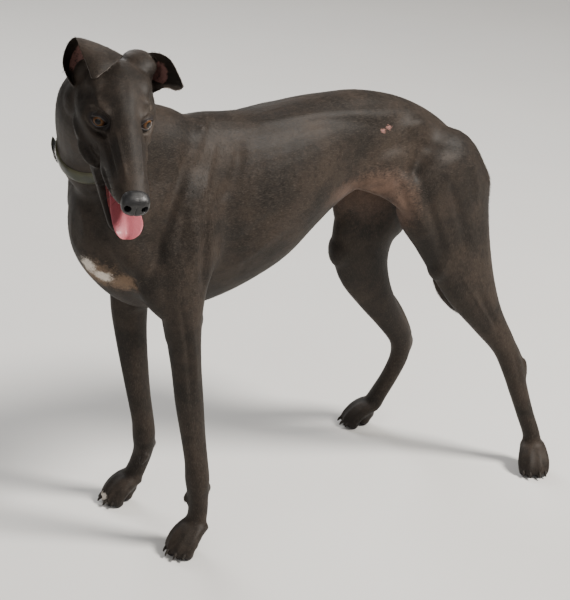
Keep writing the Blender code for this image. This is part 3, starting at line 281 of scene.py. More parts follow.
def curve_through(rows, steps):
    """Rows of numbers, filled in smoothly with steps-1 rows between each."""
    p = np.array(rows, dtype=float)
    q = np.vstack((2 * p[0] - p[1], p, 2 * p[-1] - p[-2]))
    out = []
    for i in range(1, len(q) - 2):
        for s in range(steps):
            t = s / steps
            m0 = (q[i + 1] - q[i - 1]) / 2
            m1 = (q[i + 2] - q[i]) / 2
            out.append((2 * t ** 3 - 3 * t ** 2 + 1) * q[i]
                       + (t ** 3 - 2 * t ** 2 + t) * m0
                       + (-2 * t ** 3 + 3 * t ** 2) * q[i + 1]
                       + (t ** 3 - t ** 2) * m1)
    out.append(q[-2])
    return np.array(out)


def faced_out(name, verts, faces):
    """A mesh from places and faces, with every face turned out."""
    mesh = bpy.data.meshes.new(name)
    mesh.from_pydata(verts, [], faces)
    bm = bmesh.new()
    bm.from_mesh(mesh)
    bmesh.ops.recalc_face_normals(bm, faces=bm.faces)
    bm.to_mesh(mesh)
    bm.free()
    return mesh


def skin_rings(rings):
    """A closed mesh over rings of equal length, closed by a fan at each end."""
    n = len(rings[0])
    verts = [tuple(v) for ring in rings for v in ring]
    faces = []
    for k in range(len(rings) - 1):
        for i in range(n):
            j = (i + 1) % n
            faces.append((k * n + i, k * n + j, (k + 1) * n + j, (k + 1) * n + i))
    first = len(verts)
    verts.append(tuple(np.mean(rings[0], axis=0)))
    verts.append(tuple(np.mean(rings[-1], axis=0)))
    last = (len(rings) - 1) * n
    for i in range(n):
        j = (i + 1) % n
        faces.append((first, j, i))
        faces.append((first + 1, last + i, last + j))
    return faced_out("skin", verts, faces)


def section(top, bottom, width, widest, m_up, m_low, n):
    """Outline of one upright section, as (sideways, up) pairs."""
    out = []
    for i in range(n):
        a = 2 * math.pi * i / n
        s, c = math.sin(a), math.cos(a)
        m = m_up if c >= 0 else m_low
        h = (top - widest) if c >= 0 else (widest - bottom)
        out.append((width * math.copysign(abs(s) ** (2 / m), s),
                    widest + h * math.copysign(abs(c) ** (2 / m), c)))
    return out


def hull(rows, matrix=None, n=40, steps=4):
    """A body lofted over upright sections set along x."""
    rings = []
    for x, top, bottom, width, widest, m_up, m_low in curve_through(rows, steps):
        pts = section(top, bottom, max(width, 0.001), widest, m_up, m_low, n)
        ring = [Vector((x, y, z)) for y, z in pts]
        rings.append([matrix @ v if matrix else v for v in ring])
    return skin_rings(rings)


def tube(rows, side=(0, 1, 0), n=28, steps=4):
    """A limb lofted over oval sections square to its own line."""
    r = curve_through(rows, steps)
    side = Vector(side)
    rings = []
    for k, row in enumerate(r):
        a = Vector(r[max(k - 1, 0)][:3])
        b = Vector(r[min(k + 1, len(r) - 1)][:3])
        t = (b - a).normalized()
        w = (side - side.dot(t) * t).normalized()
        d = w.cross(t)
        c = Vector(row[:3])
        ring = []
        for i in range(n):
            ang = 2 * math.pi * i / n
            ring.append(c + d * (row[3] * math.cos(ang)) + w * (row[4] * math.sin(ang)))
        rings.append(ring)
    return skin_rings(rings)


def set_in(rows, matrix, thick=1.0):
    """A tube's rows, carried into another frame."""
    return [tuple(matrix @ Vector(r[:3])) + (r[3] * thick, r[4] * thick) for r in rows]


def spindle(a, b, deep, wide):
    """A muscle: thick in the middle, thin at both ends."""
    a, b = Vector(a), Vector(b)
    rows = []
    for k in range(9):
        t = k / 8
        f = max(math.sin(math.pi * t) ** MUSCLE_BLUNT, 0.12)
        c = a.lerp(b, t)
        rows.append((c.x, c.y, c.z, deep * f, wide * f))
    return tube(rows, n=20, steps=1)


def blob(centre, radii, matrix=None):
    bm = bmesh.new()
    bmesh.ops.create_uvsphere(bm, u_segments=24, v_segments=16, radius=1.0)
    m = Matrix.Translation(Vector(centre)) @ Matrix.Diagonal((*radii, 1))
    bm.transform(matrix @ m if matrix else m)
    mesh = bpy.data.meshes.new("blob")
    bm.to_mesh(mesh)
    bm.free()
    return mesh


def mirror_rows(rows):
    return [(r[0], -r[1]) + tuple(r[2:]) for r in rows]


def joined(meshes):
    bm = bmesh.new()
    for m in meshes:
        bm.from_mesh(m)
    mesh = bpy.data.meshes.new("joined")
    bm.to_mesh(mesh)
    bm.free()
    return mesh


# rows from root to tip; each row is three places (front or outer edge, back
# of the cup, inner edge) in the head's own frame
EAR_R = (
    ((-0.078, -0.046, -0.012), (-0.094, -0.038, -0.018), (-0.070, -0.030, 0.000)),
    ((-0.083, -0.064, 0.004), (-0.100, -0.050, -0.006), (-0.076, -0.032, 0.018)),
    ((-0.099, -0.075, 0.021), (-0.119, -0.047, 0.010), (-0.083, -0.016, 0.030)),
    ((-0.115, -0.071, 0.041), (-0.124, -0.036, 0.034), (-0.087, 0.002, 0.044)),
    ((-0.117, -0.062, 0.055), (-0.112, -0.028, 0.051), (-0.082, 0.003, 0.054)),
    ((-0.098, -0.060, 0.056), (-0.087, -0.032, 0.057), (-0.067, -0.006, 0.055)),
    ((-0.074, -0.053, 0.048), (-0.064, -0.036, 0.053), (-0.055, -0.021, 0.049)),
    ((-0.046, -0.046, 0.0375), (-0.042, -0.042, 0.039), (-0.044, -0.037, 0.041)))
EAR_L = (
    ((-0.098, 0.030, 0.018), (-0.104, 0.034, -0.008), (-0.074, 0.042, -0.010)),
    ((-0.112, 0.038, 0.029), (-0.114, 0.047, 0.000), (-0.076, 0.056, -0.004)),
    ((-0.110, 0.047, 0.043), (-0.115, 0.061, 0.010), (-0.071, 0.062, 0.006)),
    ((-0.103, 0.062, 0.049), (-0.102, 0.073, 0.016), (-0.070, 0.068, 0.012)),
    ((-0.093, 0.077, 0.046), (-0.087, 0.083, 0.021), (-0.066, 0.076, 0.015)),
    ((-0.077, 0.088, 0.034), (-0.074, 0.089, 0.022), (-0.060, 0.083, 0.016)),
    ((-0.062, 0.095, 0.024), (-0.062, 0.095, 0.021), (-0.059, 0.091, 0.019)))


def paw_frame(name):
    (x, y), (dx, dy), size = PAWS[name]
    f = Vector((dx, dy, 0)).normalized()
    s = Vector((f.y, -f.x, 0))
    m = Matrix(((f.x, s.x, 0, x), (f.y, s.y, 0, y), (0, 0, 1, 0), (0, 0, 0, 1)))
    return m @ Matrix.Scale(size, 4)


TOES = ((-0.0185, 0.000), (-0.0080, 0.009), (0.0080, 0.009), (0.0185, 0.000))


def paw_meshes(name):
    """Four arched toes on their pads and the heel pad behind them."""
    m = paw_frame(name)
    out = []
    for off, reach in TOES:
        spread = off * 1.22
        rows = ((-0.012 + reach * 0.3, off * 0.75, 0.050, 0.0110, 0.0105),
                (0.010 + reach, off, 0.0435, 0.0115, 0.0100),
                (0.027 + reach, spread, 0.0310, 0.0112, 0.0098),
                (0.037 + reach, spread, 0.0190, 0.0108, 0.0096),
                (0.043 + reach, spread, 0.0100, 0.0090, 0.0085))
        out.append(tube(set_in(rows, m), m.to_3x3() @ Vector((0, 1, 0)), n=16, steps=2))
        out.append(blob((0.038 + reach, spread, 0.0075), (0.0125, 0.0085, 0.0090), m))
    out.append(blob((0.010, 0.0, 0.0120), (0.0150, 0.0175, 0.0140), m))
    out.append(blob((0.004, 0.0, 0.0300), (0.0180, 0.0200, 0.0200), m))
    return out


def claw_meshes(name):
    m = paw_frame(name)
    out = []
    for off, reach in TOES:
        spread = off * 1.22
        rows = ((0.036 + reach, spread, 0.0160, 0.0042, 0.0036),
                (0.046 + reach, spread * 1.01, 0.0145, 0.0038, 0.0031),
                (0.053 + reach, spread * 1.02, 0.0105, 0.0028, 0.0023),
                (0.0565 + reach, spread * 1.03, 0.0058, 0.0012, 0.0011))
        out.append(tube(set_in(rows, m, CLAW_THICK), m.to_3x3() @ Vector((0, 1, 0)), n=14, steps=4))
    return out


def dewclaw(wrist, fore):
    """The small fifth claw high on the inside of a foreleg."""
    w, f = Vector(wrist), Vector(fore)
    rows = ((*w, 0.0072, 0.0060), (*(w + f * 0.008 - Vector((0, 0, 0.010))), 0.0070, 0.0060),
            (*(w + f * 0.011 - Vector((0, 0, 0.018))), 0.0042, 0.0036))
    return tube(rows, n=12, steps=2)


# muscles on both sides: one end, other end, half depth, half width
PAIRED_MUSCLES = (
    # shoulder blade and upper arm
    ((-0.010, 0.030, 0.704), (-0.150, 0.066, 0.522), 0.040, 0.026),
    ((-0.150, 0.056, 0.560), (-0.085, 0.080, 0.405), 0.036, 0.028),
    # breast muscle between the forelegs, and the neck's strap muscle
    ((-0.196, 0.020, 0.575), (-0.100, 0.052, 0.430), 0.030, 0.030),
    ((-0.160, 0.044, 0.712), (-0.166, 0.062, 0.524), 0.040, 0.030),
    # loin beside the spine, and rump
    ((0.040, 0.026, 0.685), (0.440, 0.028, 0.661), 0.030, 0.030),
    ((0.380, 0.040, 0.640), (0.518, 0.044, 0.560), 0.036, 0.028))
# rounded places on both sides: centre, half sizes
PAIRED_LUMPS = (
    # point of the shoulder, and elbow
    ((-0.148, 0.058, 0.528), (0.034, 0.026, 0.040)),
    ((-0.045, 0.079, 0.402), (0.012, 0.010, 0.022)),
    # point of the hip, and the flank's filling above the web of skin
    ((0.390, 0.047, 0.648), (0.036, 0.016, 0.020)),
    ((0.345, 0.048, 0.592), (0.060, 0.026, 0.040)))
# heel cords and heel bones
HEELS = (
    ((0.575, -0.098, 0.285), (0.630, -0.122, 0.196), 0.0085, 0.0070),
    ((0.480, 0.087, 0.290), (0.545, 0.088, 0.180), 0.0085, 0.0070),
    ((0.630, -0.121, 0.208), (0.622, -0.129, 0.150), 0.0100, 0.0090),
    ((0.542, 0.088, 0.190), (0.528, 0.094, 0.140), 0.0100, 0.0090))
LUMPS = (
    # seat bones
    ((0.518, -0.046, 0.560), (0.024, 0.020, 0.030)),
    ((0.520, 0.046, 0.566), (0.024, 0.020, 0.030)),
    # back pads of the wrists, and knees
    ((-0.028, -0.100, 0.108), (0.008, 0.009, 0.011)),
    ((-0.020, 0.083, 0.108), (0.008, 0.009, 0.011)),
    ((0.447, -0.079, 0.408), (0.021, 0.023, 0.034)),
    ((0.358, 0.084, 0.392), (0.020, 0.024, 0.034)))
DEWCLAWS = ((-0.046, -0.082, 0.098), (-0.040, 0.066, 0.098))


def other_side(place, s):
    return place[0], s * place[1], place[2]


def body_meshes():
    """All the overlapping solids that the skin of the body melts from."""
    out = [hull(TORSO), tube(TAIL, n=20)]
    out += [tube(rows) for rows in (NECK, FORE_L, FORE_R, HIND_L, HIND_R, FLANK_L, FLANK_R)]
    for s in (-1, 1):
        out.append(tube(ARM if s > 0 else mirror_rows(ARM)))
        for a, b, deep, wide in PAIRED_MUSCLES:
            out.append(spindle(other_side(a, s), other_side(b, s), deep, wide))
        for centre, radii in PAIRED_LUMPS:
            out.append(blob(other_side(centre, s), radii))
    out += [spindle(*row) for row in HEELS]
    out += [blob(*row) for row in LUMPS]
    out += [dewclaw(wrist, (-1, 0, 0)) for wrist in DEWCLAWS]
    for name in PAWS:
        out += paw_meshes(name)
    return out


JAW_M = HEAD_M @ Matrix.Translation(JAW_HINGE) @ Matrix.Rotation(
    math.radians(JAW_OPEN), 4, "Y") @ Matrix.Translation(-JAW_HINGE)


# in the head's frame, on both sides: chewing muscle, brow, lid swelling, side
# of the crown, root of the ear
HEAD_LUMPS = (
    ((-0.042, 0.038, -0.038), (0.036, 0.018, 0.030)),
    ((-0.012, 0.0260, 0.0135), (0.020, 0.0110, 0.0085)),
    ((-0.0065, 0.0322, -0.0005), (0.0135, 0.0130, 0.0125)),
    ((-0.064, 0.028, 0.0170), (0.036, 0.022, 0.020)),
    ((-0.096, 0.040, 0.010), (0.020, 0.018, 0.022)))
# cheek bone, upper lip, web of lip at the corner of the mouth
HEAD_MUSCLES = (
    ((0.014, 0.033, -0.022), (-0.066, 0.053, -0.014), 0.010, 0.010),
    ((0.020, 0.026, -0.050), (0.126, 0.014, -0.046), 0.010, 0.009),
    ((-0.040, 0.041, -0.050), (0.026, 0.029, -0.0635), 0.019, 0.012))
# left ear's base, throat, and the neck's fullness behind the right cheek, as
# the head is turned left
HEAD_FILLS = (
    ((-0.106, 0.036, 0.026), (0.028, 0.027, 0.017)),
    ((-0.080, 0.0, -0.066), (0.050, 0.034, 0.030)),
    ((-0.090, -0.033, -0.032), (0.036, 0.033, 0.036)))


def head_meshes():
    """All the overlapping solids that the skin of the head melts from."""
    out = [hull(SKULL, HEAD_M), hull(JAW, JAW_M), tube(NECK)]
    for s in (-1, 1):
        for centre, radii in HEAD_LUMPS:
            out.append(blob(other_side(centre, s), radii, HEAD_M))
        for a, b, deep, wide in HEAD_MUSCLES:
            ends = (HEAD_M @ Vector(other_side(p, s)) for p in (a, b))
            out.append(spindle(*ends, deep, wide))
    return out + [blob(*row, HEAD_M) for row in HEAD_FILLS]


def nostril(s):
    rows = ((0.135, s * 0.0070, -0.0345, 0.0044, 0.0040),
            (0.141, s * 0.0088, -0.0335, 0.0050, 0.0046),
            (0.146, s * 0.0116, -0.0335, 0.0052, 0.0048),
            (0.153, s * 0.0165, -0.0350, 0.0060, 0.0050))
    return tube(set_in(rows, HEAD_M), HEAD_L, n=20, steps=3)


def mouth_hollow():
    """Room behind the lips: the vault of the palate over the tongue."""
    rows = ((0.030, -0.050, -0.072, 0.0120, -0.060, 2.2, 2.2),
            (0.050, -0.0475, -0.074, 0.0170, -0.060, 2.2, 2.2),
            (0.080, -0.0455, -0.074, 0.0165, -0.060, 2.2, 2.2),
            (0.105, -0.0440, -0.072, 0.0150, -0.058, 2.2, 2.2),
            (0.118, -0.0430, -0.068, 0.0110, -0.056, 2.0, 2.0))
    return hull(rows, HEAD_M, n=20, steps=2)


def jaw_hollow():
    """The trough of the lower jaw the tongue lies in."""
    rows = ((0.030, -0.050, -0.070, 0.0130, -0.060, 2.2, 2.2),
            (0.060, -0.052, -0.072, 0.0135, -0.060, 2.2, 2.2),
            (0.090, -0.052, -0.069, 0.0115, -0.060, 2.2, 2.2),
            (0.108, -0.053, -0.067, 0.0085, -0.060, 2.0, 2.0))
    return hull(rows, JAW_M, n=20, steps=2)


# tongue: middle line in the head's frame, half thickness, half width
TONGUE = (
    (0.020, 0.000, -0.0660, 0.0055, 0.0110),
    (0.045, 0.000, -0.0710, 0.0055, 0.0150),
    (0.070, 0.001, -0.0770, 0.0050, 0.0180),
    (0.090, 0.002, -0.0825, 0.0046, 0.0205),
    (0.106, 0.003, -0.0865, 0.0042, 0.0220),
    (0.119, 0.003, -0.0885, 0.0038, 0.0218),
    (0.1290, 0.002, -0.0915, 0.0035, 0.0190),
    (0.1340, 0.001, -0.0945, 0.0030, 0.0140),
    (0.1365, 0.000, -0.0970, 0.0020, 0.0065))


# of each jaw: its frame, the way its teeth point, their roots' height, then each
# tooth's place ahead, place aside, radius and height
TEETH = {
    "teeth_upper": (HEAD_M, -1, -0.0500, (
        (0.1100, 0.0138, 0.0022, 0.0060),
        (0.1215, 0.0022, 0.0015, 0.0042), (0.1175, 0.0060, 0.0015, 0.0042),
        (0.1055, 0.0098, 0.0015, 0.0042),
        (0.0920, 0.0165, 0.0028, 0.0055), (0.0770, 0.0173, 0.0028, 0.0055))),
    "teeth_lower": (JAW_M, 1, -0.0675, (
        (0.1065, 0.0098, 0.0022, 0.0020),
        (0.1150, 0.0022, 0.0015, 0.0016), (0.1120, 0.0060, 0.0015, 0.0016),
        (0.1030, 0.0098, 0.0015, 0.0016),
        (0.0920, 0.0118, 0.0028, 0.0018), (0.0770, 0.0128, 0.0028, 0.0018)))}


def teeth(m, down, root, spots):
    """Eye teeth, cutting teeth and the first cheek teeth of one jaw."""
    out = []
    for x, y, r, tall in spots:
        for s in (-1, 1):
            rows = ((x, s * y, root - down * 0.004, r, r * 0.8),
                    (x, s * y, root + down * tall * 0.5, r * 0.8, r * 0.6),
                    (x - 0.001, s * y, root + down * tall, r * 0.2, r * 0.2))
            out.append(tube(set_in(rows, m), HEAD_L, n=12, steps=4))
    return joined(out)


def whiskers(surface):
    """Fine stiff hairs from the muzzle and the cheeks."""
    out = []
    beds = [(0.072 + 0.013 * k + 0.004 * row, 0.024 - 0.0015 * k, -0.030 - 0.006 * row)
            for row in range(3) for k in range(4)]
    beds.append((0.010, 0.044, -0.040))
    for n, (x, y, z) in enumerate(beds):
        for s in (-1, 1):
            root = surface.find_nearest(HEAD_M @ Vector((x, s * y, z)))
            out_way = root[1] + 0.35 * (HEAD_M.to_3x3() @ Vector((0.3, 0, -0.5)))
            long = WHISKER_LONG + 0.010 * ((n * 7) % 5) / 4
            pts = []
            for k in range(5):
                t = k / 4
                q = root[0] + out_way * (long * t - 0.001) + Vector((0, 0, -0.008)) * t * t
                pts.append(tuple(q) + (WHISKER * (1.1 - t), WHISKER * (1.1 - t)))
            out.append(tube(pts, HEAD_L, n=5, steps=2))
    return joined(out)


# how far along from one step to the next, and how high over the neck
STITCH_ARC = ((0.1, 0.0016), (0.4, 0.0025), (0.7, 0.0016))


def stitches(rows):
    """A line of stitches along each edge of the strap."""
    out = []
    for j in (1, 7):
        for k in range(len(rows)):
            p, d = rows[k][j]
            q = rows[(k + 1) % len(rows)][j][0]
            arc = [p + (q - p) * t + d * up for t, up in STITCH_ARC]
            out.append(tube([tuple(e) + (STITCH, STITCH) for e in arc], HEAD_L, n=5, steps=2))
    return joined(out)


def link(name, mesh):
    ob = bpy.data.objects.new(name, mesh)
    bpy.context.scene.collection.objects.link(ob)
    return ob


def drop(*obs):
    for ob in obs:
        bpy.data.objects.remove(ob, do_unlink=True)


def places(mesh):
    co = np.empty(len(mesh.vertices) * 3)
    mesh.vertices.foreach_get("co", co)
    return co.reshape(-1, 3)


def put(mesh, co):
    mesh.vertices.foreach_set("co", co.ravel())
    mesh.update()


def normals(mesh):
    out = np.empty(len(mesh.vertices) * 3)
    mesh.vertex_normals.foreach_get("vector", out)
    return out.reshape(-1, 3)


def edges_of(mesh):
    e = np.empty(len(mesh.edges) * 2, dtype=np.int64)
    mesh.edges.foreach_get("vertices", e)
    return e.reshape(-1, 2)


def spread(values, e, rounds, share=0.5):
    """Values at the corners of a mesh, evened out with their neighbours'."""
    v = values if values.ndim == 2 else values[:, None]
    n = len(v)
    count = np.maximum(np.bincount(e.ravel(), minlength=n), 1).astype(float)[:, None]
    for _ in range(rounds):
        s = np.empty_like(v)
        for k in range(v.shape[1]):
            s[:, k] = (np.bincount(e[:, 0], weights=v[e[:, 1], k], minlength=n)
                       + np.bincount(e[:, 1], weights=v[e[:, 0], k], minlength=n))
        v = v + share * (s / count - v)
    return v if values.ndim == 2 else v[:, 0]


def soften(mesh, fill, relax, where=None):
    """Fill the creases between muscles, then even the whole skin a little."""
    e = edges_of(mesh)
    co = places(mesh)
    w = 1.0 if where is None else where[:, None]

    def lap(c):
        return spread(c, e, 1, 1.0) - c

    co = co + 0.5 * lap(co)
    co = co + 0.5 * lap(co)
    put(mesh, co)
    nor = normals(mesh)
    for k in range(fill):
        d = lap(co)
        along = np.sum(d * nor, axis=1, keepdims=True)
        co = co + w * (0.9 * np.maximum(along, 0) * nor + 0.5 * (d - along * nor))
        if k % 4 == 3:
            put(mesh, co)
            nor = normals(mesh)
    for _ in range(relax):
        co = co + 0.5 * lap(co)
        co = co - 0.52 * lap(co)
    for _ in range(2):
        co = co + 0.5 * lap(co)
    put(mesh, co)


def apply_all(ob):
    deps = bpy.context.evaluated_depsgraph_get()
    deps.update()
    mesh = bpy.data.meshes.new_from_object(ob.evaluated_get(deps))
    ob.modifiers.clear()
    ob.data = mesh


def remeshed(ob, voxel):
    mod = ob.modifiers.new("melt", "REMESH")
    mod.mode = "VOXEL"
    mod.voxel_size = voxel
    apply_all(ob)


def halved(mesh, point, normal):
    """Only what lies behind the plane, closed with a flat face."""
    bm = bmesh.new()
    bm.from_mesh(mesh)
    geom = list(bm.verts) + list(bm.edges) + list(bm.faces)
    bmesh.ops.bisect_plane(bm, geom=geom, dist=1e-5, plane_co=point,
                           plane_no=normal, clear_outer=True)
    rim = [e for e in bm.edges if e.is_boundary]
    bmesh.ops.edgeloop_fill(bm, edges=rim)
    bm.to_mesh(mesh)
    bm.free()


def ear(rows):
    """A thin cup of skin through rows of places, as one closed shell."""
    flat = [sum((list(p) for p in row), []) for row in rows]
    grid = []
    for row in curve_through(flat, EAR_STEPS):
        a, b, c = (np.array(row[k:k + 3]) for k in (0, 3, 6))
        m = 2 * b - (a + c) / 2
        grid.append([(1 - t) ** 2 * a + 2 * t * (1 - t) * m + t * t * c
                     for t in np.linspace(0, 1, EAR_ACROSS + 1)])
    verts = [tuple(HEAD_M @ Vector(v)) for line in grid for v in line]
    w = EAR_ACROSS + 1
    faces = [(k * w + i, k * w + i + 1, (k + 1) * w + i + 1, (k + 1) * w + i)
             for k in range(len(grid) - 1) for i in range(EAR_ACROSS)]
    mesh = bpy.data.meshes.new("ear")
    mesh.from_pydata(verts, [], faces)
    ob = link("ear", mesh)
    mod = ob.modifiers.new("thick", "SOLIDIFY")
    mod.thickness = EAR_THICK
    mod.offset = 0.0
    apply_all(ob)
    out = ob.data
    drop(ob)
    return out


def surface_of(mesh):
    """A mesh made ready for finding its nearest and its struck places."""
    return BVHTree.FromPolygons(places(mesh).tolist(),
                                [tuple(p.vertices) for p in mesh.polygons])


def reach(field, co, far):
    """How far each place lies from a surface, out to the distance far."""
    out = np.full(len(co), far)
    for i, p in enumerate(co):
        hit = field.find_nearest(Vector(p), far)
        if hit[0] is not None:
            out[i] = hit[3]
    return out


def cut(ob, meshes):
    """Takes the cutters' room out of a piece."""
    for mesh in meshes:
        cutter = link("cutter", mesh)
        mod = ob.modifiers.new("cut", "BOOLEAN")
        mod.operation = "DIFFERENCE"
        mod.solver = "MANIFOLD"
        mod.object = cutter
        apply_all(ob)
        drop(cutter)


def almond(size, a):
    """How far aside and up the rim of the lids' opening lies at one angle."""
    return size[0] * math.cos(a), size[1] * math.sin(a) * (1 - LID_POINT * abs(math.cos(a)))


def lid_opening(s):
    """The almond opening between the lids, as rings from the eye outward."""
    gaze, side, up = gaze_frame(s)
    rings = []
    for d, grow in ((0.004, 0.92), (EYE_R, 1.0), (0.030, 1.35)):
        ring = []
        for i in range(LID_STEPS):
            a = 2 * math.pi * i / LID_STEPS
            x, t = almond(LIDS, a)
            ring.append(HEAD_M @ (EYE_AT[s] + gaze * d + side * x * grow + up * t * grow))
        rings.append(ring)
    return skin_rings(rings)


def gaze_frame(s):
    gaze = Vector((0.79, s * 0.56, 0.20)).normalized()
    side = gaze.cross(Vector((0, 0, 1))).normalized()
    return gaze, side, side.cross(gaze)


def snug_lids(mesh, s):
    """Draws the skin round an eye onto the eyeball, with a fold over each lid."""
    gaze, side, up = gaze_frame(s)
    co = places(mesh)
    h = local(co, HEAD_M) - np.array(EYE_AT[s])
    d = h @ np.array(gaze)
    u = h @ np.array(side)
    v = h @ np.array(up)
    out = np.hypot(u / 0.0200, v / 0.0150)
    near = (1 - ramp(out, 0.60, 1.30)) * (d > 0)
    ball = np.sqrt(np.maximum((EYE_R + 0.0016) ** 2 - u * u - v * v, (0.45 * EYE_R) ** 2))
    ring = np.hypot(u / 0.0146, v / 0.0092)
    fold = (np.exp(-((ring - 1.08) / 0.16) ** 2) * 0.0012
            - np.exp(-((ring - 1.55) / 0.16) ** 2) * np.where(v > 0, 0.0013, 0.0008))
    target = ball + fold
    move = near * (target - d)
    put(mesh, co + move[:, None] * np.array(HEAD_M.to_3x3() @ gaze))


def body_skin():
    ob = link("body_melt", joined(body_meshes()))
    remeshed(ob, BODY_VOXEL)
    soften(ob.data, 26, 5)
    halved(ob.data, COLLAR_AT + COLLAR_AXIS * 0.006, COLLAR_AXIS)
    return ob


def head_skin():
    ob = link("head_melt", joined(head_meshes()))
    remeshed(ob, HEAD_VOXEL)
    soften(ob.data, 36, 8)
    cut(ob, [mouth_hollow(), jaw_hollow()])
    halved(ob.data, COLLAR_AT - COLLAR_AXIS * 0.006, -COLLAR_AXIS)
    ears = [ear(EAR_R), ear(EAR_L)]
    skull = surface_of(ob.data)
    flaps = surface_of(joined([ear(EAR_R[:3]), ear(EAR_L[:3])]))
    ob.data = joined([ob.data] + ears)
    remeshed(ob, HEAD_VOXEL)
    co = places(ob.data)
    root = (np.clip(1 - reach(skull, co, 0.009) / 0.009, 0, 1)
            * np.clip(1 - reach(flaps, co, 0.009) / 0.009, 0, 1))
    soften(ob.data, 24, 3, np.clip(root * 3, 0, 1))
    for s in (-1, 1):
        snug_lids(ob.data, s)
    cut(ob, [lid_opening(-1), lid_opening(1)])
    return ob


def middles(rows, *more):
    """The line through the middle of a limb's rows, and on through more places."""
    return [r[:3] for r in rows] + list(more)


# the lie of the coat: lines that it follows, each with its thickness
LIES = {
    "torso": (((-0.20, 0, 0.58), (0.0, 0, 0.58), (0.25, 0, 0.61), (0.45, 0, 0.61),
               (0.54, 0, 0.56)), 0.085),
    "neck": (middles(reversed(NECK)), 0.060),
    "tail": (middles(TAIL), 0.012),
    "head": ([tuple(HEAD_M @ Vector((x, 0, z))) for x, z in
              ((0.146, -0.034), (0.10, -0.030), (0.04, -0.020), (-0.03, -0.010),
               (-0.12, -0.012))], 0.040),
    "jaw": ([tuple(JAW_M @ Vector((x, 0, -0.072))) for x in (0.121, 0.06, 0.0, -0.05)],
            0.016),
    "fore_left": (middles(FORE_L, (-0.060, -0.102, 0.020), (-0.095, -0.111, 0.008)), 0.022),
    "fore_right": (middles(FORE_R, (-0.062, 0.101, 0.020), (-0.097, 0.100, 0.008)), 0.022),
    "arm_left": (middles(mirror_rows(ARM)), 0.040),
    "arm_right": (middles(ARM), 0.040),
    "hind_left": (middles(HIND_L, (0.634, -0.168, 0.020), (0.615, -0.196, 0.008)), 0.028),
    "hind_right": (middles(HIND_R, (0.476, 0.138, 0.020), (0.445, 0.151, 0.008)), 0.028),
    "ear_right": ([tuple(HEAD_M @ Vector(r[1])) for r in EAR_R], 0.010),
    "ear_left": ([tuple(HEAD_M @ Vector(r[1])) for r in EAR_L], 0.010)}
REGIONS = list(LIES)


def laid(way, nor):
    """Directions turned to run along the skin."""
    return way - np.sum(way * nor, axis=1, keepdims=True) * nor


def unit(way):
    return way / np.maximum(np.linalg.norm(way, axis=1, keepdims=True), 1e-9)


def lie_field(co, nor, e):
    """At each place: which way the coat lies, and which region it belongs to."""
    share = np.zeros((len(co), len(REGIONS)))
    way = np.zeros_like(co)
    for k, name in enumerate(REGIONS):
        pts, thick = LIES[name]
        line = curve_through(pts, 4)
        run = np.gradient(line, axis=0)
        run /= np.linalg.norm(run, axis=1, keepdims=True)
        d2 = ((co[:, None, :] - line[None]) ** 2).sum(axis=2)
        near = d2.argmin(axis=1)
        d = np.sqrt(d2[np.arange(len(co)), near]) / thick
        share[:, k] = np.exp(-3.0 * d)
        way += share[:, k:k + 1] * run[near]
    share /= share.sum(axis=1, keepdims=True)
    way = unit(way)
    way[:, 2] -= HAIR_HANG * (1 - np.abs(nor[:, 2]))
    way = spread(laid(way, nor), e, 8)
    return unit(laid(way, nor)), spread(share, e, 4)


# muscle edges, folds and hollows: where each runs, then how wide it is and how
# high it stands (below zero, how deep it lies), in millimetres. Those of the
# trunk and legs are x and height, seen from the side.
TRUNK_STROKES = (
    ("blade crest", ((-0.050, 0.690), (-0.075, 0.645), (-0.100, 0.600), (-0.120, 0.550)), 9, -3.6),
    ("blade spine", ((0.000, 0.690), (-0.015, 0.665), (-0.035, 0.630), (-0.060, 0.600)), 9, 2.6),
    ("behind blade", ((0.040, 0.690), (0.030, 0.650), (0.010, 0.615), (-0.025, 0.590)), 11, -3.6),
    ("neck cord", ((-0.230, 0.650), (-0.205, 0.605), (-0.190, 0.565), (-0.170, 0.530)), 9, 2.8),
    ("elbow fold", ((-0.040, 0.600), (-0.048, 0.550), (-0.050, 0.500), (-0.050, 0.455)), 8, -5.5),
    ("arm muscle", ((-0.065, 0.585), (-0.068, 0.545), (-0.075, 0.505)), 9, 2.4),
    ("arm groove", ((-0.080, 0.600), (-0.090, 0.565), (-0.098, 0.530)), 8, -3.0),
    ("chest line", ((-0.030, 0.515), (0.015, 0.520), (0.050, 0.540), (0.085, 0.560),
                    (0.120, 0.575)), 9, -3.2),
    ("rib edge", ((0.005, 0.470), (0.045, 0.490), (0.080, 0.515), (0.125, 0.540)), 11, 2.0),
    ("loin", ((0.145, 0.685), (0.200, 0.688), (0.260, 0.682), (0.320, 0.668)), 12, -2.6),
    ("flank hollow", ((0.220, 0.625), (0.260, 0.625), (0.305, 0.623)), 17, -4.5),
    ("flank fold", ((0.290, 0.560), (0.320, 0.565), (0.345, 0.585)), 7, -3.2),
    ("haunch", ((0.365, 0.640), (0.400, 0.622), (0.435, 0.612), (0.470, 0.612)), 11, -2.6),
    ("breast", ((-0.205, 0.555), (-0.190, 0.520), (-0.160, 0.485), (-0.148, 0.466)), 8, -3.6),
    ("breast side", ((-0.148, 0.466), (-0.140, 0.495), (-0.125, 0.530), (-0.118, 0.575)), 8, -3.2))
RIBS = ((0.055, 0.9), (0.088, 1.1), (0.121, 1.1), (0.154, 0.9))
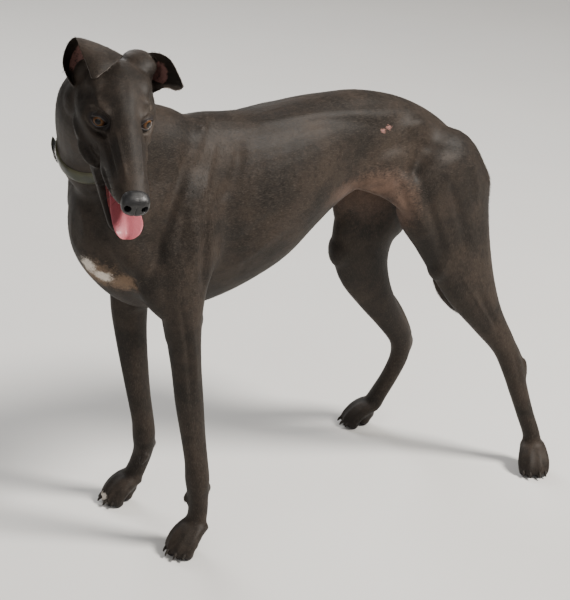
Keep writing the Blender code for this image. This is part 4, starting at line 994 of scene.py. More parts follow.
LEG_STROKES = (
    ("thigh front", ((0.342, 0.585), (0.350, 0.550), (0.368, 0.510), (0.392, 0.465)), 8, -3.2),
    ("thigh middle", ((0.390, 0.560), (0.402, 0.515), (0.424, 0.465), (0.445, 0.415)), 9, -3.4),
    ("thigh back", ((0.433, 0.573), (0.450, 0.525), (0.470, 0.480), (0.481, 0.430)), 9, -3.6),
    ("ham", ((0.483, 0.605), (0.497, 0.560), (0.508, 0.520)), 9, 2.0),
    ("hock cord", ((0.507, 0.365), (0.536, 0.316), (0.565, 0.266)), 6, -3.0),
    ("hock vein", ((0.468, 0.403), (0.496, 0.359), (0.533, 0.305), (0.562, 0.259)), 3, 1.3),
    ("cannon", ((0.592, 0.232), (0.604, 0.197), (0.612, 0.160)), 4, -1.6),
    ("forearm", ((-0.096, 0.455), (-0.083, 0.393), (-0.073, 0.322), (-0.064, 0.250)), 5, -2.0),
    ("forearm bone", ((-0.074, 0.421), (-0.064, 0.355), (-0.057, 0.284)), 5, 1.4))
FAR_STROKES = (
    ("knee", ((0.358, 0.375), (0.376, 0.357), (0.395, 0.351)), 8, 1.8),
    ("knee front", ((0.358, 0.465), (0.360, 0.417), (0.358, 0.387)), 8, -2.4),
    ("shin", ((0.418, 0.315), (0.450, 0.260), (0.478, 0.212)), 6, -2.2),
    ("far thigh front", ((0.380, 0.560), (0.385, 0.510), (0.395, 0.450)), 9, -3.2),
    ("far thigh back", ((0.430, 0.560), (0.438, 0.500), (0.436, 0.430)), 9, -3.2),
    ("far forearm", ((-0.094, 0.440), (-0.080, 0.380), (-0.068, 0.300)), 5, -2.0))
# in the head's own frame: towards the nose, aside from the middle, up
FACE_STROKES = (
    ("muzzle side", ((0.010, 0.030, -0.012), (0.036, 0.028, -0.010), (0.068, 0.025, -0.017),
                     (0.108, 0.021, -0.021)), 4.5, -3.6),
    ("bridge edge", ((0.028, 0.017, 0.008), (0.060, 0.014, 0.000), (0.092, 0.013, -0.007),
                     (0.116, 0.011, -0.014)), 4.0, 2.0),
    ("eye corner", ((0.003, 0.038, -0.014), (0.012, 0.029, -0.012), (0.032, 0.025, -0.006)), 3, -2.4),
    ("cheek bone", ((-0.066, 0.057, -0.032), (-0.038, 0.056, -0.038), (-0.012, 0.051, -0.042),
                    (0.008, 0.043, -0.040)), 6.0, 3.0),
    ("cheek hollow", ((0.012, 0.038, -0.030), (0.028, 0.033, -0.036), (0.026, 0.030, -0.056)), 7, -4.0),
    ("lower jaw", ((0.010, 0.030, -0.076), (0.033, 0.023, -0.086), (0.057, 0.013, -0.094)), 4, 1.4),
    ("whisker bed", ((0.048, 0.030, -0.040), (0.077, 0.028, -0.043), (0.108, 0.022, -0.045)), 4, -2.0),
    ("brow bone", ((-0.034, 0.036, 0.022), (-0.018, 0.034, 0.016), (-0.003, 0.028, 0.010)), 5, 2.8),
    ("forehead", ((-0.056, 0.0, 0.042), (-0.023, 0.0, 0.035), (0.007, 0.0, 0.024),
                  (0.030, 0.0, 0.015)), 7, -0.8),
    ("mouth fold", ((-0.004, 0.042, -0.052), (0.008, 0.038, -0.060), (0.022, 0.031, -0.062),
                    (0.040, 0.029, -0.058)), 3.2, -2.2),
    ("cheek fold", ((-0.030, 0.052, -0.052), (-0.014, 0.049, -0.062), (0.000, 0.042, -0.072)), 4,
     -2.0),
    ("lid crease", ((-0.024, 0.047, 0.002), (-0.018, 0.040, 0.009), (-0.006, 0.033, 0.011)), 2.4, -1.6),
    ("temple", ((-0.052, 0.054, -0.002), (-0.046, 0.048, 0.012), (-0.036, 0.038, 0.022)), 9, -3.2))


def from_line(co, pts):
    """How far each place lies from a line, and where along it, from 0 to 1."""
    line = curve_through([tuple(p) for p in pts], 6)
    best = np.full(len(co), 9.0)
    along = np.zeros(len(co))
    for k in range(len(line) - 1):
        a, b = line[k], line[k + 1]
        t = np.clip((co - a) @ (b - a) / ((b - a) @ (b - a)), 0, 1)
        d = np.linalg.norm(co - a - t[:, None] * (b - a), axis=1)
        near = d < best
        best[near] = d[near]
        along[near] = (k + t[near]) / (len(line) - 1)
    return best, along


def strokes(surface):
    """Every stroke's places on the skin, its width and its height."""
    ribs = tuple(("rib", ((x + 0.012, 0.665), (x + 0.008, 0.625), (x - 0.004, 0.585)), 7, -deep)
                 for x, deep in RIBS)
    out = []
    for table, sides in ((TRUNK_STROKES + ribs, (-1, 1)), (LEG_STROKES, (-1,)),
                         (FAR_STROKES, (1,))):
        for _, pts, wide, deep in table:
            for s in sides:
                spots = [surface.ray_cast(Vector((x, 0.4 * s, z)), Vector((0, -s, 0)))[0]
                         for x, z in pts]
                out.append(([q for q in spots if q is not None], wide / 1000, deep / 1000))
    for _, pts, wide, deep in FACE_STROKES:
        for s in (-1, 1):
            spots = [surface.find_nearest(HEAD_M @ Vector((x, s * y, z)))[0]
                     for x, y, z in pts]
            out.append((spots, wide / 1000, deep / 1000))
    return [row for row in out if len(row[0]) > 2]


def pressed(co, nor, surface):
    """The skin with its muscle edges, folds and hollows worked in."""
    rise = np.zeros(len(co))
    for pts, wide, deep in strokes(surface):
        low = np.min(pts, axis=0) - 3 * wide
        high = np.max(pts, axis=0) + 3 * wide
        here = np.all((co > low) & (co < high), axis=1)
        d, t = from_line(co[here], pts)
        taper = np.clip(np.minimum(t, 1 - t) * 4, 0, 1)
        rise[here] += deep * taper * np.exp(-(d / wide) ** 2)
    return co + nor * rise[:, None]


def ramp(x, a, b):
    t = np.clip((x - a) / (b - a), 0, 1)
    return t * t * (3 - 2 * t)


def near_to(co, centre, radii):
    """1 at the centre of an oval patch, 0 at its rim and beyond."""
    d = np.linalg.norm((co - np.array(centre)) / np.array(radii), axis=1)
    return 1 - ramp(d, 0.55, 1.0)


def local(co, matrix):
    m = np.array(matrix.inverted())
    return co @ m[:3, :3].T + m[:3, 3]


def soft_spot(co, centre, radii):
    """One at the centre, fading evenly to nothing round it."""
    q = np.linalg.norm((co - np.array(centre)) / np.array(radii), axis=1)
    return np.exp(-q ** 2)


# the coat's markings: centre and half sizes of each
WHITE_SPOTS = (
    ((-0.208, -0.016, 0.503), (0.019, 0.019, 0.019)),
    ((-0.192, -0.033, 0.487), (0.021, 0.018, 0.013)),
    ((-0.105, 0.106, 0.010), (0.015, 0.015, 0.016)))
TAN_SPOTS = (
    ((-0.166, -0.048, 0.477), (0.032, 0.028, 0.020)),
    ((-0.195, -0.024, 0.490), (0.036, 0.036, 0.034)))
SCARS = (
    ((0.323, -0.057, 0.655), (0.0075, 0.012, 0.0050)),
    ((0.333, -0.055, 0.659), (0.0075, 0.012, 0.0050)))
# flank and groin, where the hair is thin, on both sides
THIN_SPOTS = (
    ((0.262, 0.062, 0.560), (0.060, 0.050, 0.026)),
    ((0.312, 0.070, 0.562), (0.060, 0.050, 0.034)),
    ((0.352, 0.070, 0.520), (0.036, 0.060, 0.060)),
    ((0.370, 0.030, 0.520), (0.070, 0.040, 0.080)))
# in the head's frame: the cups of the ears, and hairs over the brows
EAR_CUPS = (
    ((-0.116, -0.050, 0.020), (0.026, 0.026, 0.026)),
    ((-0.100, 0.064, 0.010), (0.026, 0.020, 0.032)))
PALE_BROWS = (
    ((-0.0166, -0.0417, 0.0085), (0.012, 0.014, 0.0050)),
    ((-0.0210, 0.0404, 0.0110), (0.012, 0.014, 0.0050)))
# box round the mouth, in the head's frame
MOUTH_LOW = (0.0, -0.045, -1.0)
MOUTH_HIGH = (0.13, 0.045, -0.035)


def most(mark, co, rows):
    """The strongest of several oval marks at each place."""
    return np.max([mark(co, *row) for row in rows], axis=0)


def markings(co, nor, share):
    """Where the coat changes: white, thin, pink, pale and bare places."""
    h = local(co, HEAD_M)
    turn = nor @ np.array(HEAD_M.to_3x3())
    white = most(soft_spot, co, WHITE_SPOTS)
    tan = most(soft_spot, co, TAN_SPOTS)
    thin = most(soft_spot, co, [(other_side(spot, s), radii)
                                for s in (-1, 1) for spot, radii in THIN_SPOTS])
    pale = most(near_to, h, PALE_BROWS)
    ears = share[:, REGIONS.index("ear_right")] + share[:, REGIONS.index("ear_left")]
    facing = turn @ np.array((0.79, -0.10, 0.58))
    pink = most(near_to, h, EAR_CUPS) * ramp(facing, 0.05, 0.35) * ramp(ears, 0.15, 0.35)
    pink = np.maximum(pink, 1.1 * most(soft_spot, co, SCARS))
    rim = np.zeros(len(co))
    by_ear = ears > 0.1
    for rows in (EAR_R, EAR_L):
        for k in (0, 2):
            line = [HEAD_M @ Vector(r[k]) for r in rows]
            d, t = from_line(co[by_ear], line)
            rim[by_ear] = np.maximum(rim[by_ear], (1 - ramp(d, 0.0010, 0.0028))
                                     * ramp(t, 0.30, 0.45))
    gums = np.zeros(len(co))
    near_mouth = np.all((h > MOUTH_LOW) & (h < MOUTH_HIGH), axis=1)
    inside = surface_of(joined([mouth_hollow(), jaw_hollow()]))
    d = reach(inside, co[near_mouth], 0.006)
    gums[near_mouth] = 1 - ramp(d, 0.0004, 0.0016)
    bare = np.zeros(len(co))
    bare[near_mouth] = 1 - ramp(d, 0.0022, 0.0048)
    for s in (-1, 1):
        gaze, side, up = gaze_frame(s)
        r = h - np.array(EYE_AT[s])
        over, high = r @ np.array(side), r @ np.array(up)
        front = r @ np.array(gaze) > 0
        oval = np.hypot(over / 0.0185, high / 0.0100)
        bare = np.maximum(bare, (1 - ramp(oval, 0.90, 1.20)) * front)
        below = ramp(oval, 1.10, 1.25) * (1 - ramp(oval, 1.35, 1.60)) * ramp(-high, 0.002, 0.006)
        pale = np.maximum(pale, 0.8 * below * front)
    bare = np.maximum(bare, (1 - ramp(co[:, 2], 0.006, 0.012)) * ramp(-nor[:, 2], 0.1, 0.5))
    return {"white": white, "tan": tan, "pink": pink, "thin": thin, "rim": rim,
            "pale": pale, "gums": gums, "bare": bare, "ears": ears,
            "headness": share[:, REGIONS.index("head")] + share[:, REGIONS.index("jaw")],
            "legness": sum(share[:, k] for k, n in enumerate(REGIONS)
                           if n.startswith(("fore", "hind", "tail")))}


def keep_marks(mesh, marks):
    for name, values in marks.items():
        att = mesh.attributes.new(name, "FLOAT", "POINT")
        att.data.foreach_set("value", np.ascontiguousarray(values, dtype=np.float32))


# the skin laid out flat, chart by chart
def charts(co, nor, region):
    """A chart number, and flat coordinates in metres, for each place."""
    side = np.abs(nor).argmax(axis=1)
    facing = side * 2 + (nor[np.arange(len(nor)), side] > 0)
    keep = np.array([[1, 2], [0, 2], [0, 1]])[side]
    flat = np.take_along_axis(co, keep, axis=1)
    return region * 6 + facing, flat


class Layout:
    """Charts packed in rows on one square sheet, all at one scale."""

    def __init__(self, number, flat):
        self.low = {}
        boxes = []
        for c in np.unique(number):
            f = flat[number == c]
            self.low[c] = f.min(axis=0)
            boxes.append((c, *(f.max(axis=0) - f.min(axis=0) + CHART_GAP)))
        width = 1.25 * math.sqrt(sum(b[1] * b[2] for b in boxes))
        self.at = {}
        x = y = tall = 0.0
        for c, w, h in sorted(boxes, key=lambda b: -b[2]):
            if x + w > width:
                x, y, tall = 0.0, y + tall, 0.0
            self.at[c] = np.array((x, y))
            x += w
            tall = max(tall, h)
        self.size = max(width, y + tall)

    def place(self, number, flat):
        out = np.zeros_like(flat)
        for c in self.at:
            here = number == c
            out[here] = flat[here] - self.low[c] + self.at[c]
        return np.clip(out / self.size, 0, 1)


def quick_mesh(name, co, corners, counts):
    """A mesh from flat arrays: places, then each face's corners in turn."""
    mesh = bpy.data.meshes.new(name)
    mesh.vertices.add(len(co))
    mesh.vertices.foreach_set("co", co.astype(np.float32).ravel())
    mesh.loops.add(len(corners))
    mesh.loops.foreach_set("vertex_index", corners.astype(np.int32))
    mesh.polygons.add(len(counts))
    starts = np.concatenate(([0], np.cumsum(counts)[:-1]))
    mesh.polygons.foreach_set("loop_start", starts.astype(np.int32))
    mesh.update(calc_edges=True)
    return mesh


def tufts(name, root, nor, way, length, lift, marks, uv, rng):
    """Thin tapered tufts of hair, each from its root along the lie of the coat."""
    n = len(root)
    way = unit(laid(way + HAIR_STRAY * rng.standard_normal((n, 3)), nor))
    side = np.cross(nor, way)
    long = (length * (0.75 + 0.5 * rng.random(n)))[:, None]
    half = (HAIR_WIDE * (0.7 + 0.6 * rng.random(n)))[:, None] / 2
    up = (lift * (0.4 + 1.2 * rng.random(n)))[:, None]
    start = root - nor * 0.0003
    mid = root + way * long * 0.5 + nor * (up * 0.75)
    tip = root + way * long + nor * up
    co = np.stack((start - side * half, start + side * half, mid - side * half * 0.8,
                   mid + side * half * 0.8, tip), axis=1).reshape(-1, 3)
    base = np.arange(n)[:, None] * 5
    corners = (base + np.array([[0, 2, 3, 1, 2, 4, 3]])).ravel()
    counts = np.tile([4, 3], n)
    mesh = quick_mesh(name, co, corners, counts)
    mesh.polygons.foreach_set("use_smooth", np.ones(2 * n, dtype=bool))
    mesh.normals_split_custom_set_from_vertices(np.repeat(nor, 5, axis=0).tolist())
    keep_marks(mesh, {k: np.repeat(v, 5) for k, v in marks.items()})
    keep_marks(mesh, {"along": np.tile([0.0, 0.0, 0.5, 0.5, 1.0], n),
                      "shade": np.repeat(rng.random(n), 5)})
    patch = TUFT_PATCH * np.array([[0, 0], [0, 0.5], [1, 0.5], [1, 0], [0, 0.5], [0.5, 1],
                              [1, 0.5]])
    layer = mesh.uv_layers.new(name="OFBake")
    spots = (np.repeat(uv, 7, axis=0) + np.tile(patch, (n, 1))).astype(np.float32)
    layer.data.foreach_set("uv", spots.ravel())
    return link(name, mesh)


def hair_sizes(p, nor, marks, region):
    """How long each hair is, and how far its tip stands off the skin."""
    on_head = ramp(marks["headness"], 0.2, 0.6)
    face = ramp(local(p, HEAD_M)[:, 0], -0.06, 0.02) * ramp(marks["headness"], 0.3, 0.6)
    on_ears = marks["ears"] > 0.4
    long = HAIR_BODY - HAIR_HEAD_LESS * on_head - HAIR_FACE_LESS * face
    long = np.where(on_ears, HAIR_EARS, long) * (1 - 0.6 * marks["rim"])
    long = long * np.where(p[:, 2] < 0.06, 0.55, 1.0) * (1 + 0.5 * marks["pink"] * on_ears)
    stand = np.where(marks["headness"] + marks["ears"] > 0.4, STAND_HEAD, STAND_BODY)
    # longer behind the thighs, under the chest and along the tail
    breech = (np.exp(-((p[:, 0] - 0.545) / 0.03) ** 2) * ramp(p[:, 2], 0.42, 0.50)
              * (np.abs(p[:, 1]) < 0.09))
    under = ramp(-nor[:, 2], 0.75, 0.95) * ramp(p[:, 2], 0.36, 0.40)
    on_tail = marks["legness"] * (region == REGIONS.index("tail")) * ramp(-p[:, 2], -0.50, -0.30)
    fringe = np.clip(breech + 0.7 * under * (marks["headness"] < 0.3) + on_tail, 0, 1)
    return long * (1 + 1.1 * fringe), stand * (1 + 2.5 * fringe)


def triangles_of(mesh):
    mesh.calc_loop_triangles()
    t = np.empty(len(mesh.loop_triangles) * 3, dtype=np.int32)
    mesh.loop_triangles.foreach_get("vertices", t)
    return t.reshape(-1, 3)


def sown(tri, co, density, rng, number):
    """Random places on the skin: the triangle of each, and its weights."""
    a, b, c = co[tri[:, 0]], co[tri[:, 1]], co[tri[:, 2]]
    area = np.linalg.norm(np.cross(b - a, c - a), axis=1) / 2
    w = area * density[tri].mean(axis=1)
    pick = rng.choice(len(tri), size=number, p=w / w.sum())
    r = rng.random((number, 2))
    flip = r.sum(axis=1) > 1
    r[flip] = 1 - r[flip]
    return pick, np.column_stack((1 - r.sum(axis=1), r))


def at(values, tri, pick, weight):
    v = values[tri[pick]]
    if v.ndim == 3:
        return (v * weight[:, :, None]).sum(axis=1)
    return (v * weight).sum(axis=1)


def material(name, **values):
    mat = bpy.data.materials.new(name)
    mat.use_nodes = True
    bsdf = mat.node_tree.nodes["Principled BSDF"]
    for key, value in values.items():
        bsdf.inputs[key.replace("_", " ")].default_value = value
    return mat, mat.node_tree, bsdf


def node(tree, kind, inputs=None, **props):
    n = tree.nodes.new("ShaderNode" + kind)
    for key, value in props.items():
        setattr(n, key, value)
    for key, value in (inputs or {}).items():
        if isinstance(value, bpy.types.NodeSocket):
            tree.links.new(value, n.inputs[key])
        else:
            n.inputs[key].default_value = value
    return n


def placed(tree):
    return node(tree, "TexCoord").outputs["Object"]


def wired(tree, bsdf, colour, rough=None):
    tree.links.new(colour, bsdf.inputs["Base Color"])
    if rough:
        tree.links.new(rough, bsdf.inputs["Roughness"])


def maths(tree, how, a, b=0.0):
    return node(tree, "Math", {0: a, 1: b}, operation=how).outputs[0]


def mixed(tree, share, a, b):
    n = node(tree, "Mix", {0: share}, data_type="RGBA")
    for k, value in ((6, a), (7, b)):
        if isinstance(value, bpy.types.NodeSocket):
            tree.links.new(value, n.inputs[k])
        else:
            n.inputs[k].default_value = (*value, 1) if len(value) == 3 else value
    return n.outputs[2]


def stepped(tree, value, low, high, a=0.0, b=1.0):
    """value read as a smooth step from a at low to b at high."""
    return node(tree, "MapRange", {"Value": value, "From Min": low, "From Max": high,
                                   "To Min": a, "To Max": b},
                interpolation_type="SMOOTHSTEP").outputs["Result"]


def noise(tree, vector, scale, detail=2.0, rough=0.5):
    return node(tree, "TexNoise", {"Vector": vector, "Scale": scale, "Detail": detail,
                                   "Roughness": rough}).outputs["Fac"]


def attribute(tree, name):
    return node(tree, "Attribute", attribute_name=name).outputs["Fac"]


def bumped(tree, bsdf, height, strength, distance):
    n = node(tree, "Bump", {"Height": height, "Strength": strength, "Distance": distance})
    tree.links.new(n.outputs[0], bsdf.inputs["Normal"])


COAT_DARK = (0.0115, 0.0090, 0.0073)
COAT_WARM = (0.0310, 0.0223, 0.0166)
COAT_PALE = (0.0860, 0.0700, 0.0575)
COAT_WHITE = (0.62, 0.56, 0.49)
COAT_TAN = (0.19, 0.125, 0.080)
THIN_SKIN = (0.130, 0.078, 0.056)
EAR_PINK = (0.30, 0.150, 0.130)
EDGE_PALE = (0.23, 0.20, 0.18)
GUM = (0.30, 0.10, 0.10)
SKIN_DARK = (0.016, 0.013, 0.013)


def coat_material(name, hair):
    """Short dark hair in fine streaks along its lie, with its markings."""
    mat, t, bsdf = material(name, Roughness=0.55, Specular_IOR_Level=0.17)
    pos = placed(t)
    head_turn = HEAD_M.to_3x3().inverted().to_euler()
    in_head = node(t, "Mapping", {"Vector": pos, "Rotation": head_turn}).outputs[0]
    streaks = []
    for vector, scale in ((pos, (190, 950, 950)), (pos, (950, 950, 190)),
                          (in_head, (260, 1100, 1100))):
        v = node(t, "Mapping", {"Vector": vector, "Scale": scale}).outputs[0]
        streaks.append(noise(t, v, 1.0, 4.0, 0.62))
    leg = attribute(t, "legness")
    head = attribute(t, "headness")
    fine = node(t, "Mix", {0: leg, 2: streaks[0], 3: streaks[1]}).outputs[0]
    fine = node(t, "Mix", {0: head, 2: fine, 3: streaks[2]}).outputs[0]
    broad = noise(t, pos, 14.0, 3.0, 0.6)
    patch = noise(t, pos, 120.0, 4.0, 0.65)
    col = mixed(t, stepped(t, broad, 0.35, 0.70), COAT_DARK, COAT_WARM)
    col = mixed(t, stepped(t, fine, 0.44, 0.78, 0.0, 0.52), col, COAT_PALE)
    col = mixed(t, stepped(t, patch, 0.50, 0.72, 0.0, 0.25), col, COAT_WARM)
    col = mixed(t, stepped(t, patch, 0.50, 0.34, 0.0, 0.45), col, COAT_DARK)

    flecks = maths(t, "ADD", fine, maths(t, "MULTIPLY", patch, 0.7))
    flecks = maths(t, "SUBTRACT", flecks, 0.85)

    def over(mark, low, high, share, colour, under, torn=1.0):
        """Laid over what lies under, its edge torn by the streaks."""
        m = attribute(t, mark)
        ragged = maths(t, "ADD", m, maths(t, "MULTIPLY", flecks, torn))
        inside = maths(t, "MULTIPLY", stepped(t, ragged, low, high, 0.0, share),
                       stepped(t, m, 0.01, 0.12))
        return mixed(t, inside, under, colour)

    col = over("thin", 0.15, 1.10, 0.62, THIN_SKIN, col)
    col = over("tan", 0.30, 0.90, 0.75, COAT_TAN, col, 1.4)
    col = over("white", 0.42, 0.72, 0.95, COAT_WHITE, col, 1.5)
    col = over("pale", 0.20, 0.90, 0.40, COAT_PALE, col)
    col = over("rim", 0.20, 0.80, 0.60, EDGE_PALE, col)
    col = over("pink", 0.45, 1.00, 0.80, EAR_PINK, col, 2.2)
    col = mixed(t, attribute(t, "bare"), col, SKIN_DARK)
    col = over("gums", 0.15, 0.60, 0.85, GUM, col)
    if hair:
        # each tuft gets a random tone, darker at its root and lighter towards its tip; the dark roots
        # are painted shade where the hairs lie over one another
        tone = stepped(t, attribute(t, "shade"), 0.0, 1.0, 0.80, 1.35)
        tone = maths(t, "MULTIPLY", tone, stepped(t, attribute(t, "along"), 0.0, 1.0, 0.85, 1.2))
        col = node(t, "Mix", {6: col, 7: tone, 0: 1.0}, data_type="RGBA",
                   blend_type="MULTIPLY").outputs[2]
    rough = stepped(t, fine, 0.3, 0.75, 0.48, 0.68)
    wet = maths(t, "MAXIMUM", attribute(t, "gums"), maths(t, "MULTIPLY", attribute(t, "bare"), 0.2))
    wired(t, bsdf, col, node(t, "Mix", {0: wet, 2: rough, 3: 0.30}).outputs[0])
    if not hair:
        bumped(t, bsdf, maths(t, "ADD", fine, maths(t, "MULTIPLY", patch, 0.5)), 0.42, 0.0009)
    return mat


def eye_material():
    """Amber iris with fine rays round a dark pupil, under a wet surface."""
    mat, t, bsdf = material("eye", Roughness=0.40, Specular_IOR_Level=0.1, Coat_Weight=0.35,
                            Coat_Roughness=0.03, Coat_IOR=1.38)
    pos = placed(t)
    flat = node(t, "Mapping", {"Vector": pos, "Scale": (1 / EYE_R, 1 / EYE_R, 0)}).outputs[0]
    r = node(t, "VectorMath", {0: flat}, operation="LENGTH").outputs["Value"]
    unit = node(t, "VectorMath", {0: flat}, operation="NORMALIZE").outputs[0]
    rays = noise(t, unit, 9.0, 3.0, 0.6)
    iris = mixed(t, stepped(t, rays, 0.35, 0.65), (0.050, 0.020, 0.007), (0.125, 0.055, 0.016))
    iris = mixed(t, stepped(t, r, 0.36, 0.56, 0.0, 0.85), iris, (0.030, 0.011, 0.004))
    col = mixed(t, stepped(t, r, 0.27, 0.33), (0.0015, 0.0015, 0.0015), iris)
    col = mixed(t, stepped(t, r, 0.54, 0.60), col, (0.006, 0.004, 0.004))
    col = mixed(t, stepped(t, r, 0.72, 0.90), col, (0.040, 0.026, 0.023))
    wired(t, bsdf, col)
    return mat


def skin_material(name, low, high, rough, grain, bump, coat=0.0, **more):
    """Bare skin or horn: two tones in a fine grain, with a bump."""
    mat, t, bsdf = material(name, Coat_Weight=coat, Coat_Roughness=0.15, **more)
    pos = placed(t)
    n = noise(t, pos, grain, 4.0, 0.6)
    wired(t, bsdf, mixed(t, stepped(t, n, 0.35, 0.65), low, high),
          stepped(t, n, 0.3, 0.7, rough * 0.8, rough * 1.2))
    bumped(t, bsdf, n, bump, 0.0006)
    return mat


def nose_material():
    """Dark moist skin in small raised cells."""
    mat, t, bsdf = material("nose_leather", Coat_Weight=0.12, Coat_Roughness=0.25,
                            Specular_IOR_Level=0.35)
    pos = placed(t)
    cells = node(t, "TexVoronoi", {"Vector": pos, "Scale": 900.0}).outputs["Distance"]
    n = noise(t, pos, 300.0, 3.0)
    wired(t, bsdf, mixed(t, n, (0.0045, 0.0045, 0.0050), (0.0150, 0.0145, 0.0150)),
          stepped(t, n, 0.3, 0.7, 0.32, 0.52))
    bumped(t, bsdf, maths(t, "MULTIPLY", cells, -1.0), 0.5, 0.0006)
    return mat


def metal_material():
    mat, t, bsdf = material("metal", Metallic=1.0)
    pos = placed(t)
    n = noise(t, pos, 220.0, 4.0, 0.7)
    wired(t, bsdf, mixed(t, n, (0.60, 0.60, 0.62), (0.82, 0.82, 0.83)),
          stepped(t, n, 0.3, 0.7, 0.10, 0.28))
    bumped(t, bsdf, n, 0.08, 0.0003)
    return mat


def strap_material():
    """Dark oiled leather, its grain worn a little on the edges."""
    mat, t, bsdf = material("strap_leather", Coat_Weight=0.08, Coat_Roughness=0.3,
                            Specular_IOR_Level=0.25)
    pos = placed(t)
    cells = node(t, "TexVoronoi", {"Vector": pos, "Scale": 700.0}).outputs["Distance"]
    n = noise(t, pos, 60.0, 4.0, 0.6)
    col = mixed(t, stepped(t, n, 0.35, 0.7), (0.010, 0.012, 0.007), (0.030, 0.034, 0.018))
    edge = attribute(t, "edge")
    col = mixed(t, maths(t, "MULTIPLY", edge, stepped(t, n, 0.3, 0.6, 0.2, 0.8)), col,
                (0.075, 0.070, 0.035))
    wired(t, bsdf, col, stepped(t, n, 0.3, 0.7, 0.30, 0.50))
    bumped(t, bsdf, cells, 0.25, 0.0004)
    return mat


def floor_material():
    mat, t, bsdf = material("floor", Roughness=0.7)
    pos = placed(t)
    n = noise(t, pos, 3.0, 3.0)
    wired(t, bsdf, mixed(t, n, (0.66, 0.65, 0.63), (0.70, 0.69, 0.67)))
    return mat


def dressed(ob, mat, body="root"):
    """Gives a piece its finish and sets it in the frame."""
    ob.data.materials.clear()
    ob.data.materials.append(mat)
    ob.data.polygons.foreach_set("use_smooth", np.ones(len(ob.data.polygons), dtype=bool))
    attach(ob, body)
    return ob


def moved(ob):
    ob.data.transform(Matrix.Translation(SHIFT))
    return ob


def eye(s, name, mat):
    gaze = gaze_frame(s)[0]
    bm = bmesh.new()
    bmesh.ops.create_uvsphere(bm, u_segments=64, v_segments=48, radius=EYE_R)
    for v in bm.verts:
        r = math.hypot(v.co.x, v.co.y) / EYE_R
        if v.co.z > 0 and r < CORNEA_WIDE:
            v.co.z += CORNEA_HIGH * (1 - (r / CORNEA_WIDE) ** 2)
    mesh = bpy.data.meshes.new(name)
    bm.to_mesh(mesh)
    bm.free()
    ob = link(name, mesh)
    look = (HEAD_M.to_3x3() @ gaze).normalized()
    ob.matrix_world = (Matrix.Translation(HEAD_M @ EYE_AT[s] + SHIFT)
                       @ look.to_track_quat("Z", "Y").to_matrix().to_4x4())
    return dressed(ob, mat)


def lid_rims(s, name):
    """The thick wet edge of both lids, lying on the eyeball."""
    gaze, side, up = gaze_frame(s)
    rows = []
    for i in range(LID_STEPS + 1):
        a = 2 * math.pi * i / LID_STEPS
        x, t = almond(LID_EDGE, a)
        deep = math.sqrt(max((EYE_R + 0.0004) ** 2 - x * x - t * t, 0))
        p = HEAD_M @ (EYE_AT[s] + gaze * deep + side * x + up * t)
        rows.append((*p, LID_THICK, LID_THICK))
    return moved(link(name, tube(rows, HEAD_M.to_3x3() @ gaze, n=10, steps=1)))


def nose_pad(mat):
    """The leather of the nose: wings over both nostrils and a groove between."""
    ob = link("nose_pad", joined([hull(NOSE, HEAD_M, n=48, steps=6)] + [
        blob((0.1375, s * 0.0125, -0.0295), (0.0085, 0.0075, 0.0085), HEAD_M)
        for s in (-1, 1)]))
    remeshed(ob, NOSE_VOXEL)
    soften(ob.data, 12, 2)
    cut(ob, [nostril(-1), nostril(1)])
    remeshed(ob, NOSE_FINE_VOXEL)
    soften(ob.data, 0, 2)
    co = places(ob.data)
    nor = normals(ob.data)
    h = local(co, HEAD_M)
    groove = np.exp(-(h[:, 1] / 0.0009) ** 2) * ramp(h[:, 0], 0.134, 0.140) * ramp(
        -h[:, 2], 0.026, 0.034)
    put(ob.data, co - nor * (groove * 0.0012)[:, None])
    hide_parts("nose")
    return dressed(moved(ob), mat)


def tongue(mat):
    rows = curve_through(TONGUE, 5)
    rings = []
    for k, row in enumerate(rows):
        a = Vector(rows[max(k - 1, 0)][:3])
        b = Vector(rows[min(k + 1, len(rows) - 1)][:3])
        t = (b - a).normalized()
        up = Vector((0, 1, 0)).cross(t).normalized() * -1
        ring = []
        for i in range(TONGUE_STEPS):
            ang = 2 * math.pi * i / TONGUE_STEPS
            y = math.cos(ang)
            z = math.sin(ang)
            cup = 0.0058 * y * y * min(1.0, k / 12)
            groove = 0.0030 * math.exp(-(y / 0.26) ** 2) if z > 0 else 0.0
            ring.append(HEAD_M @ (Vector(row[:3]) + Vector((0, 1, 0)) * (y * row[4])
                                  + up * (z * row[3] + cup - groove)))
        rings.append(ring)
    ob = link("tongue_flesh", skin_rings(rings))
    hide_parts("tongue")
    return dressed(moved(ob), mat)


def strap_grid(field):
    """Places on the neck under the strap: round it, and across its width."""
    u = COLLAR_AXIS.orthogonal().normalized()
    v = COLLAR_AXIS.cross(u)
    turns = [2 * math.pi * k / COLLAR_STEPS for k in range(COLLAR_STEPS)]
    ways = [u * math.cos(a) + v * math.sin(a) for a in turns]
    middle = [COLLAR_AT + COLLAR_AXIS * (COLLAR_W * (j / (COLLAR_ROWS - 1) - 0.5))
              for j in range(COLLAR_ROWS)]
    neck = np.array([[(c - field.ray_cast(c + d * COLLAR_FAR, -d)[0]).length for c in middle]
                     for d in ways])
    r = neck
    for _ in range(10):
        r = 0.5 * r + 0.25 * (np.roll(r, 1, axis=0) + np.roll(r, -1, axis=0))
    r = np.maximum(r, neck + STRAP_GAP)
    return [[(c + d * r[k, j], d) for j, c in enumerate(middle)] for k, d in enumerate(ways)]


